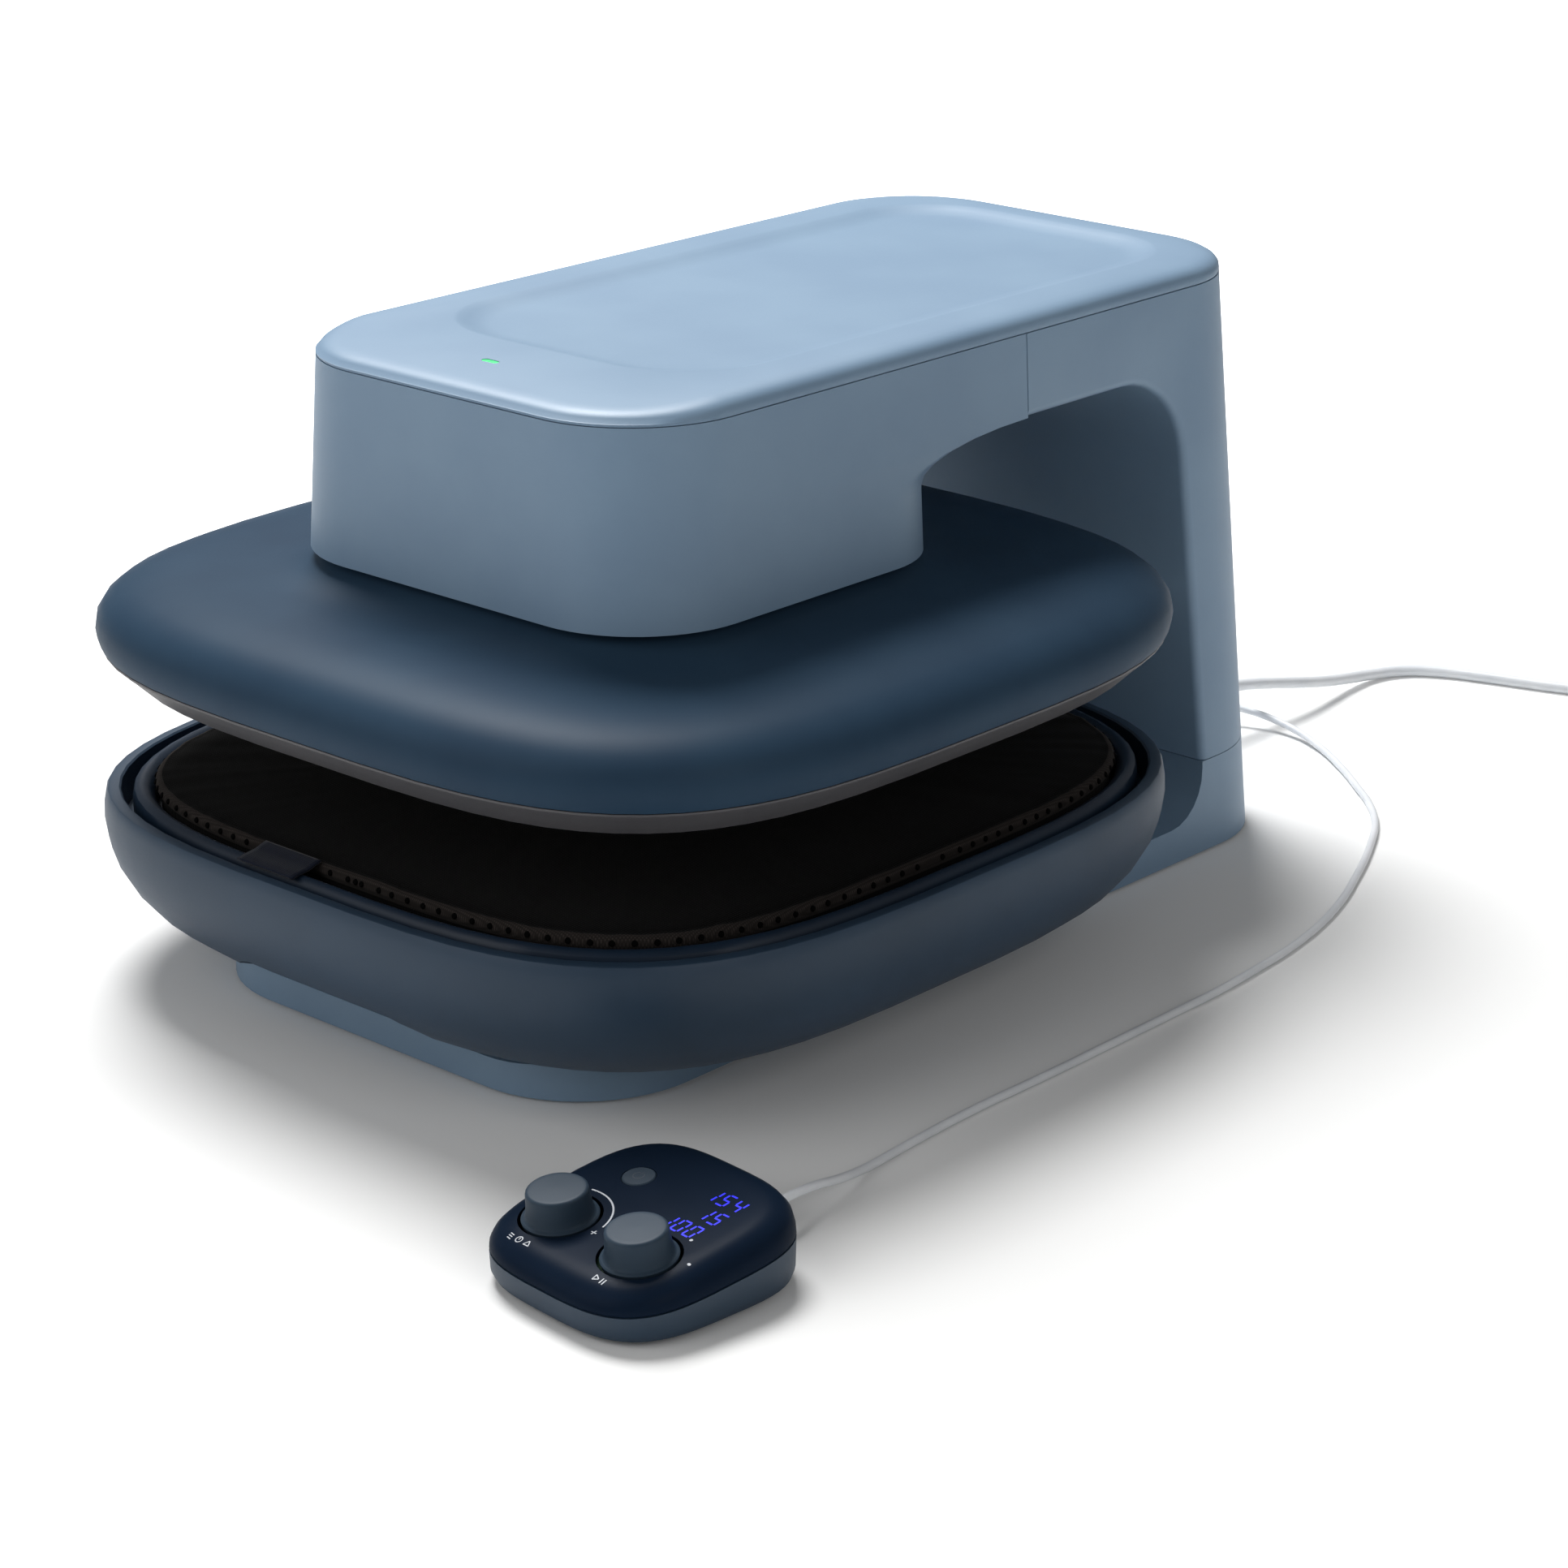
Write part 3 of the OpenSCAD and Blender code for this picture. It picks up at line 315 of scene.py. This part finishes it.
coilSteps = 24
coilTotal = 2 * leadLook["coilTurns"] + 0.5
coilPath = [coilPoint(i / coilSteps, leadLook) for i in range(int(coilSteps * coilTotal) + 1)]
coilEnd, tailSteps = coilPath[-1], 4
tailEnd = [(coilEnd[0] + leadLook["tail"] * k / tailSteps, *coilEnd[1:]) for k in range(1, tailSteps + 1)]
leadPath = leadLook["route"] + coilPath + tailEnd
powerLead = cordPiece("powerLead", leadPath, leadLook["diameter"], "housing", "whitePvc")
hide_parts("power_cord", "power_cord_coil")
print("cords ready: cable", round(routeLength(cableLook["route"]), 3),
      "lead", round(routeLength(leadPath), 3))

# shells copied from the solids, merged and given soft moulded edges

sharpAngle = math.radians(33)
mergeDistance = 0.004 * mm


def addPiece(name, bm, body, *materialNames):
    mesh = bpy.data.meshes.new(name)
    bm.to_mesh(mesh)
    bm.free()
    piece = bpy.data.objects.new(name, mesh)
    scene.collection.objects.link(piece)
    for material in materialNames:
        mesh.materials.append(finishes[material])
    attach(piece, body)
    return piece


def mergedSolid(node):
    source = frame["nodes"][node]
    bm = bmesh.new()
    bm.from_mesh(source.data)
    bm.transform(source.matrix_world)
    bmesh.ops.remove_doubles(bm, verts=bm.verts, dist=mergeDistance)
    bmesh.ops.dissolve_degenerate(bm, edges=bm.edges, dist=mergeDistance)
    bmesh.ops.join_triangles(bm, faces=bm.faces, angle_face_threshold=math.radians(12),
                             angle_shape_threshold=math.radians(170))
    return bm


def smoothFaces(bm):
    for face in bm.faces:
        face.smooth = True
    for edge in bm.edges:
        edge.smooth = not (edge.is_manifold and edge.calc_face_angle(0) > sharpAngle)


def softEdges(piece, width):
    bevel = piece.modifiers.new("softEdges", "BEVEL")
    bevel.width = width * mm
    bevel.segments = 3
    bevel.limit_method = "ANGLE"
    bevel.angle_limit = sharpAngle
    bevel.harden_normals = True
    bevel.use_clamp_overlap = True


bodyOf = {node: body for body, nodes in frame["record"]["behaviour"]["bodies"].items() for node in nodes}
shellLook = {  # node: finish and edge rounding in mm
    "base_shell": ("paleBlueAbs", 0.8),
    "column_shell": ("paleBlueAbs", 0.2),
    "head_shell": ("paleBlueAbs", 0.2),
    "top_cover": ("paleBlueAbs", 0.4),
    "platen_cover": ("platenAbs", 0.4),
    "heat_skirt": ("skirtNylon", 0.4),
    "lower_tub": ("darkBlueAbs", 0.7),
    "tray": ("trayAbs", 0),
    "heat_plate": ("coatedPlate", 0),
    "pod_top_shell": ("podTopAbs", 0.35),
    "pod_bottom_shell": ("podBaseAbs", 0.3),
    "left_knob": ("knobSoftTouch", 0.3),
    "right_knob": ("knobSoftTouch", 0.3),
    "power_button": ("knobSoftTouch", 0.25),
    "power_plug": ("whitePvc", 0.4),
    "power_gland": ("whitePvc", 0.4),
    "cable_gland": ("whitePvc", 0.3),
    "pod_gland": ("whitePvc", 0.3),
}
archFillet = {
    "offset": 4,         # mm
    "y": (0.1, 0.275),   # where the arch's edges lie, metres
    "z": (0.0495, 0.2495),
    "x": 0.105,
    "slack": 0.0001,
    "corner": 1,         # least angle between the faces, radians
    "sideways": 0.8,     # least x of an outer side's normal
}


def isArchEdge(edge):
    middle = (edge.verts[0].co + edge.verts[1].co) / 2
    lowY, highY = archFillet["y"]
    lowZ, highZ = archFillet["z"]
    if not (lowY < middle.y < highY and lowZ < middle.z < highZ and abs(middle.x) > archFillet["x"]):
        return False
    if not edge.is_manifold or edge.calc_face_angle(0) <= archFillet["corner"]:
        return False
    sides = {abs(round(face.normal.x, 1)) > archFillet["sideways"] for face in edge.link_faces}
    reach = abs(middle.x) + archFillet["slack"]
    return len(sides) == 2 and all(abs(face.calc_center_median().x) <= reach for face in edge.link_faces)


def roundArch(bm):
    edges = [edge for edge in bm.edges if isArchEdge(edge)]
    bmesh.ops.bevel(bm, geom=edges, offset=archFillet["offset"] * mm, segments=4, profile=0.5,
                    affect="EDGES", material=-1, clamp_overlap=True)
    print("arch edges rounded:", len(edges))


shells = {}
for node, (finish, edge) in shellLook.items():
    bm = mergedSolid(node)
    if node == "column_shell":
        roundArch(bm)
    smoothFaces(bm)
    shells[node] = addPiece(node + ".moulded", bm, bodyOf[node], finish)
    if edge:
        softEdges(shells[node], edge)
    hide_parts(node)
print("shells ready:", len(shells))

# pieces that keep their solid get a finish

plainLook = {
    "foot_pad": "footRubber", "pod_foot": "footRubber", "status_light": "greenLens",
    "steel_frame": "frameSteel", "guide_rods": "frameSteel", "lift_screw": "frameSteel",
    "support_frame": "frameSteel", "lift_plate": "frameSteel", "left_shaft": "frameSteel",
    "right_shaft": "frameSteel", "plug_pins": "frameSteel", "gear_motor": "motorPaint",
    "lift_nut": "turnedBronze", "guide_bushes": "turnedBronze", "control_board": "boardResin",
    "pod_board": "boardResin", "heating_element": "heaterSteel", "insulation_slab": "fibreBoard",
    "pod_display": "displayGlass", "left_encoder": "switchNylon", "right_encoder": "switchNylon",
    "button_switch": "switchNylon",
}
for node, finish in plainLook.items():
    data = frame["nodes"][node].data
    data.materials.clear()
    data.materials.append(finishes[finish])
print("plain nodes finished:", len(plainLook))

# press mat: a crowned pad in dark cloth with puckers near its bound edge

matLook = {
    "around": 216,
    "rings": [  # inset from the rim and height, mm
        (3, 74.1), (2, 75.5), (2, 84), (0.6, 85.6), (0, 87.4), (0.4, 89.4), (1.4, 90.6), (2.6, 91),
        (3.6, 90.7), (5, 91.1), (8, 91.5), (12, 91.8), (17, 92), (23, 92.2), (30, 92.4), (38, 92.6),
        (47, 92.8), (57, 93), (68, 93.2), (80, 93.4), (95, 93.6), (110, 93.8), (130, 93.9), (150, 94),
        (170, 94)],
    "bandSteps": (3, 4, 5, 6, 7),
    "halfSize": (184, 192),
    "power": 3.9,        # roundness of its plan
    "puckerMm": 0.7,     # height of the puckers
    "puckerFrom": 90.5,  # they start above this height
    "puckerLength": 9,   # along the edge
    "puckerReach": 60,   # how far they run in from the edge
    "puckerDrift": 90,   # how slowly they change on the way in
}
holeLook = {"pitch": 9.4, "radius": 1.5, "taper": 0.75, "depth": 0.7, "z": 88.5, "lean": 0.55, "sides": 10}
halfX, halfY = matLook["halfSize"]


def matRim(angle, squared=False):
    c, s = math.cos(angle), math.sin(angle)
    power = matLook["power"]
    if squared:  # the angle already belongs to the drawn rim
        k = (abs(c) ** power + abs(s) ** power) ** (-1 / power)
        return Vector((c * k * halfX, s * k * halfY, 0))
    return Vector((math.copysign(abs(c) ** (2 / power), c) * halfX,
                   math.copysign(abs(s) ** (2 / power), s) * halfY, 0))


bm = bmesh.new()
bmesh.ops.create_circle(bm, segments=matLook["around"], radius=1)
for vert in bm.verts:
    vert.co = matRim(math.atan2(vert.co.y, vert.co.x)) * mm
ring = list(bm.edges)
for step, (inset, z) in enumerate(matLook["rings"]):
    if step:
        grown = bmesh.ops.extrude_edge_only(bm, edges=ring)["geom"]
        ring = [item for item in grown if isinstance(item, bmesh.types.BMEdge)
                and len(item.link_faces) == 1]
        for edge in ring:
            edge.link_faces[0].material_index = 1 if step in matLook["bandSteps"] else 0
    share = 1 - inset / halfX
    drift = Vector((0, 0, inset / matLook["puckerDrift"]))
    for vert in {v for edge in ring for v in edge.verts}:
        rim = matRim(math.atan2(vert.co.y / halfY, vert.co.x / halfX), True)
        vert.co = Vector((rim.x * share, rim.y * share, z)) * mm
        if z > matLook["puckerFrom"]:
            pucker = noise.noise(rim / matLook["puckerLength"] + drift)
            vert.co.z += matLook["puckerMm"] * mm * pucker * math.exp(-inset / matLook["puckerReach"])
bmesh.ops.edgeloop_fill(bm, edges=ring)
bmesh.ops.edgeloop_fill(bm, edges=[e for e in bm.edges if e.is_boundary])
bmesh.ops.recalc_face_normals(bm, faces=bm.faces)
for face in bm.faces:
    face.smooth = True
pressMat = addPiece("pressMat", bm, "housing", "matCloth", "bandCloth")
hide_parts("press_mat")

bm = bmesh.new()  # row of small studs in painted shade, near-black, that stand for the holes in the binding
walked, last, lap = 0.0, matRim(0), 1440
bend = matLook["power"] - 1
for i in range(1, lap + 1):
    here = matRim(2 * math.pi * i / lap)
    walked += (here - last).length
    last = here
    if walked >= holeLook["pitch"]:
        walked -= holeLook["pitch"]
        out = Vector((math.copysign(abs(here.x / halfX) ** bend, here.x),
                      math.copysign(abs(here.y / halfY) ** bend, here.y), 0)).normalized()
        facing = (out + Vector((0, 0, holeLook["lean"]))).to_track_quat("Z", "Y").to_matrix().to_4x4()
        spot = (here + Vector((0, 0, holeLook["z"]))) * mm
        radius = holeLook["radius"] * mm
        bmesh.ops.create_cone(bm, cap_ends=True, segments=holeLook["sides"], radius1=radius,
                              radius2=holeLook["taper"] * radius, depth=holeLook["depth"] * mm,
                              matrix=Matrix.Translation(spot) @ facing)
addPiece("bindingHoles", bm, "housing", "paintedHoleShade")
print("mat ready")

# blank cloth tab folded over the tray lip

tabLook = {"x": -25, "width": 36, "length": 17.5, "thick": 0.9, "clear": 0.35, "ripple": 0.25}
tabPath = [(-190.6, 91.3), (-193.4, 90.6), (-196.8, 89.4), (-200.4, 88.9), (-203.8, 88.6), (-207.4, 87.7)]


def tabPoint(u):
    place = u * (len(tabPath) - 1)
    i = min(int(place), len(tabPath) - 2)
    a, b = Vector(tabPath[i]), Vector(tabPath[i + 1])
    return a.lerp(b, place - i)


bm = bmesh.new()
bmesh.ops.create_grid(bm, x_segments=14, y_segments=14, size=0.5)
for vert in bm.verts:
    along = vert.co.y + 0.5
    spot = tabPoint(along)
    ripple = tabLook["ripple"] * abs(noise.noise(Vector((vert.co.x * 3, vert.co.y * 2, 1.7)))) * along
    vert.co = Vector((tabLook["x"] + vert.co.x * tabLook["width"], spot.x,
                      spot.y + tabLook["clear"] + ripple)) * mm
for face in bm.faces:
    face.smooth = True
bmesh.ops.recalc_face_normals(bm, faces=bm.faces)
clothTab = addPiece("clothTab", bm, "housing", "tabCloth")
thick = clothTab.modifiers.new("thick", "SOLIDIFY")
thick.thickness = tabLook["thick"] * mm
thick.offset = 0
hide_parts("mat_tab")
print("tab ready")

# pod face: printed marks, lit digits and the button's ring

podLook = {
    "middle": (244, -252, 29),
    "tilt": 7.5,
    "turn": -5,
    "leftKnob": (-23.5, -22),
    "rightKnob": (23.5, -22),
    "button": (-20.7, 16.4),
    "inkLift": 0.06,
    "dropFrom": 30,  # marks fall on the face from this height
}
arcLook = {"radius": 20.8, "width": 0.75, "start": 12, "sweep": 91, "steps": 30}
plusLook = {"radius": 20.5, "angle": -1, "width": 0.55, "length": 2.8}
dotLook = {"radius": 21, "angles": (68, 22), "size": 0.75}
clockLook = {"drop": 21.1, "radius": 1.5, "width": 0.45, "start": 0, "sweep": 360, "steps": 20}
powerLook = {"radius": 2.3, "width": 0.4, "start": 115, "sweep": 310, "steps": 24, "barUp": 1.9, "bar": 2}
iconBars = [  # knob, place from its middle, width, length and turn
    ("leftKnob", -5.2, -22.2, 0.45, 2.6, 78),  # heat waves
    ("leftKnob", -5.2, -21.1, 0.45, 2.6, 78),
    ("leftKnob", -5.2, -20, 0.45, 2.6, 78),
    ("leftKnob", 0, -20.7, 0.4, 1.3, 0),  # clock hand
    ("leftKnob", 4.45, -21, 0.45, 2.7, -30),  # weight
    ("leftKnob", 5.95, -21, 0.45, 2.7, 30),
    ("leftKnob", 5.2, -22.25, 0.45, 3.2, 90),
    ("rightKnob", -2.7, -20.6, 0.45, 2.8, 0),  # play
    ("rightKnob", -1.5, -19.9, 0.45, 2.8, 60),
    ("rightKnob", -1.5, -21.3, 0.45, 2.8, -60),
    ("rightKnob", 1.3, -20.6, 0.55, 2.8, 0),  # pause
    ("rightKnob", 2.7, -20.6, 0.55, 2.8, 0),
]
digitLook = {
    "size": (4, 7.8),
    "bar": 0.85,
    "gap": 0.7,
    "slant": 0.14,
    "pitch": 6.9,
    "rows": [("154", 14, 25.5), ("15", 21.5, 14), ("100", 13.5, 2)],
    # a is the top bar, b to f go on clockwise, g is the middle
    "lit": {"0": "abcdef", "1": "bc", "4": "bcfg", "5": "acdfg"},
}
podPlace = (Matrix.Translation(Vector(podLook["middle"]) * mm)
            @ Matrix.Rotation(math.radians(podLook["turn"]), 4, "Z")
            @ Matrix.Rotation(math.radians(podLook["tilt"]), 4, "X"))


def flatBar(bm, x, y, width, length, turn=0):
    place = Matrix.Translation((x * mm, y * mm, 0)) @ Matrix.Rotation(math.radians(turn), 4, "Z")
    size = Matrix.Diagonal((width * mm, length * mm, 1, 1))
    bmesh.ops.create_grid(bm, x_segments=1, y_segments=4, size=0.5, matrix=place @ size)


def flatArc(bm, x, y, look):
    turn = Matrix.Rotation(math.radians(look["start"]), 4, "Z")
    middle = Vector((x * mm, y * mm, 0))
    ends = [bm.verts.new(turn @ Vector((r * mm, 0, 0)) + middle)
            for r in (look["radius"] - look["width"] / 2, look["radius"] + look["width"] / 2)]
    edge = bm.edges.new(ends)
    bmesh.ops.spin(bm, geom=ends + [edge], angle=math.radians(look["sweep"]), steps=look["steps"],
                   axis=(0, 0, 1), cent=middle, use_merge=look["sweep"] >= 360)


def flatDot(bm, x, y, radius):
    bmesh.ops.create_circle(bm, cap_ends=True, segments=14, radius=radius * mm,
                            matrix=Matrix.Translation((x * mm, y * mm, 0)))


def layOnFace(bm, node, lift):
    surface = mergedSolid(node)
    tree = BVHTree.FromBMesh(surface)
    up = podPlace.to_3x3() @ Vector((0, 0, 1))
    bm.transform(podPlace)
    for vert in bm.verts:
        hit = tree.ray_cast(vert.co + up * podLook["dropFrom"] * mm, -up)[0]
        if hit is not None:
            vert.co = hit + up * lift * mm
    bmesh.ops.recalc_face_normals(bm, faces=bm.faces)
    for face in bm.faces:
        if face.normal.dot(up) < 0:
            face.normal_flip()
    surface.free()


def aroundKnob(knob, radius, angle):
    turn = math.radians(angle)
    return knob[0] + radius * math.cos(turn), knob[1] + radius * math.sin(turn)


bm = bmesh.new()
left, right = podLook["leftKnob"], podLook["rightKnob"]
flatArc(bm, *left, arcLook)
plusAt = aroundKnob(left, plusLook["radius"], plusLook["angle"])
for turn in (0, 90):
    flatBar(bm, *plusAt, plusLook["width"], plusLook["length"], turn)
for angle in dotLook["angles"]:
    flatDot(bm, *aroundKnob(right, dotLook["radius"], angle), dotLook["size"])
flatArc(bm, left[0], left[1] - clockLook["drop"], clockLook)
for knob, x, y, width, length, turn in iconBars:
    flatBar(bm, podLook[knob][0] + x, podLook[knob][1] + y, width, length, turn)
layOnFace(bm, "pod_top_shell", podLook["inkLift"])
addPiece("podMarks", bm, "housing", "printedInk")


def litDigit(bm, digit, x, y):
    w, h = digitLook["size"]
    bars = {"a": (0, h / 2, 90), "b": (w / 2, h / 4, 0), "c": (w / 2, -h / 4, 0), "d": (0, -h / 2, 90),
            "e": (-w / 2, -h / 4, 0), "f": (-w / 2, h / 4, 0), "g": (0, 0, 90)}
    for key in digitLook["lit"][digit]:
        dx, dy, turn = bars[key]
        reach = (w if turn else h / 2) - digitLook["gap"]
        flatBar(bm, x + dx + dy * digitLook["slant"], y + dy, digitLook["bar"], reach, turn)


bm = bmesh.new()
for text, x, y in digitLook["rows"]:
    for k, digit in enumerate(text):
        litDigit(bm, digit, x + digitLook["pitch"] * k, y)
layOnFace(bm, "pod_top_shell", podLook["inkLift"])
addPiece("litDigits", bm, "housing", "blueSegment")

bm = bmesh.new()
buttonX, buttonY = podLook["button"]
flatArc(bm, buttonX, buttonY, powerLook)
flatBar(bm, buttonX, buttonY + powerLook["barUp"], powerLook["width"], powerLook["bar"])
layOnFace(bm, "power_button", podLook["inkLift"])
addPiece("buttonMark", bm, "power_key", "faintInk")
print("pod marks ready")

# tie round the coil of the lead

tieLook = {"angle": 250, "width": 11, "thick": 0.9, "inner": 21.6, "outer": 52.4, "low": 0.55, "top": 14.2,
           "round": 3.2}
bm = bmesh.new()
inner, outer, low, top = (tieLook[key] for key in ("inner", "outer", "low", "top"))
corners = ((inner, low), (outer, low), (outer, top), (inner, top))
ring = [bm.verts.new((r * mm, 0, z * mm)) for r, z in corners]
bm.faces.new(ring)
bmesh.ops.bevel(bm, geom=ring, offset=tieLook["round"] * mm, segments=5, profile=0.5, affect="VERTICES",
                material=-1)
loop = bm.edges[:]
bmesh.ops.delete(bm, geom=bm.faces[:], context="FACES_ONLY")
strap = bmesh.ops.extrude_edge_only(bm, edges=loop)["geom"]
farSide = [item for item in strap if isinstance(item, bmesh.types.BMVert)]
bmesh.ops.translate(bm, verts=farSide, vec=(0, tieLook["width"] * mm, 0))
bmesh.ops.translate(bm, verts=bm.verts, vec=(0, -tieLook["width"] * mm / 2, 0))
coilCentre = Vector((*leadLook["coilAt"][:2], 0)) * mm
bm.transform(Matrix.Translation(coilCentre) @ Matrix.Rotation(math.radians(tieLook["angle"]), 4, "Z"))
bmesh.ops.recalc_face_normals(bm, faces=bm.faces)
for face in bm.faces:
    face.smooth = True
coilTie = addPiece("coilTie", bm, "housing", "tabCloth")
wall = coilTie.modifiers.new("wall", "SOLIDIFY")
wall.thickness = tieLook["thick"] * mm
wall.offset = 0
print("tie ready")

# floor, light and background

studio = {
    "floorSize": 30,
    "floor": "#f2f2f1",
    "world": 0.2,          # light from all round
    "shine": 0.32,         # what glossy surfaces mirror
    "nearGlow": 0.02,      # lift of the floor beside the press
    "farGlow": 1.0,        # white sweep behind
    "sweep": (0.45, 1.3),  # metres from the press
    "aim": (0, 0, 0.12),   # what the lamps look at
}
lamps = [  # place, size and watts
    ("key", (-1.25, 0.65, 2.5), 1.4, 104),
    ("front", (-0.9, -2.4, 1.7), 2.8, 25),
    ("side", (2.6, -0.5, 1.6), 1.8, 11.5),
]
bm = bmesh.new()
bmesh.ops.create_grid(bm, x_segments=1, y_segments=1, size=studio["floorSize"])
mesh = bpy.data.meshes.new("floor")
bm.to_mesh(mesh)
bm.free()
floor = bpy.data.objects.new("floor", mesh)
scene.collection.objects.link(floor)
# pale paper: soft shadow near the press, running out to white
floorPaint, tree, shader, place = startMaterial("floorPaint", {
    "Base Color": hexColor(studio["floor"]), "Roughness": 0.9, "Emission Color": (1, 1, 1, 1)})
away = addNode(tree, "ShaderNodeVectorMath", {0: place}, operation="LENGTH")
sweep = addNode(tree, "ShaderNodeMapRange", {
    "Value": away.outputs["Value"], "From Min": studio["sweep"][0], "From Max": studio["sweep"][1],
    "To Min": studio["nearGlow"], "To Max": studio["farGlow"]})
eyeRay = addNode(tree, "ShaderNodeLightPath")
glow = addNode(tree, "ShaderNodeMath", {
    0: sweep.outputs["Result"], 1: eyeRay.outputs["Is Camera Ray"]}, operation="MULTIPLY")
tree.links.new(glow.outputs[0], shader.inputs["Emission Strength"])
mesh.materials.append(floorPaint)
for name, spot, size, watts in lamps:
    data = bpy.data.lights.new(name, "AREA")
    data.shape = "DISK"
    data.size = size
    data.energy = watts
    lamp = bpy.data.objects.new(name, data)
    lamp.location = spot
    lamp.rotation_euler = (Vector(studio["aim"]) - Vector(spot)).to_track_quat("-Z", "Y").to_euler()
    scene.collection.objects.link(lamp)
world = bpy.data.worlds.new("studio")
world.use_nodes = True
tree = world.node_tree
tree.nodes.clear()
rays = addNode(tree, "ShaderNodeLightPath")
shine = addNode(tree, "ShaderNodeMapRange", {
    "Value": rays.outputs["Is Glossy Ray"], "To Min": studio["world"], "To Max": studio["shine"]})
level = addNode(tree, "ShaderNodeMix", {
    "Factor": rays.outputs["Is Camera Ray"], "A": shine.outputs["Result"], "B": 1.0})
sky = addNode(tree, "ShaderNodeBackground", {"Strength": level.outputs["Result"]})
addNode(tree, "ShaderNodeOutputWorld", {"Surface": sky.outputs[0]})
scene.world = world
scene.view_settings.view_transform = "Standard"
print("studio ready")
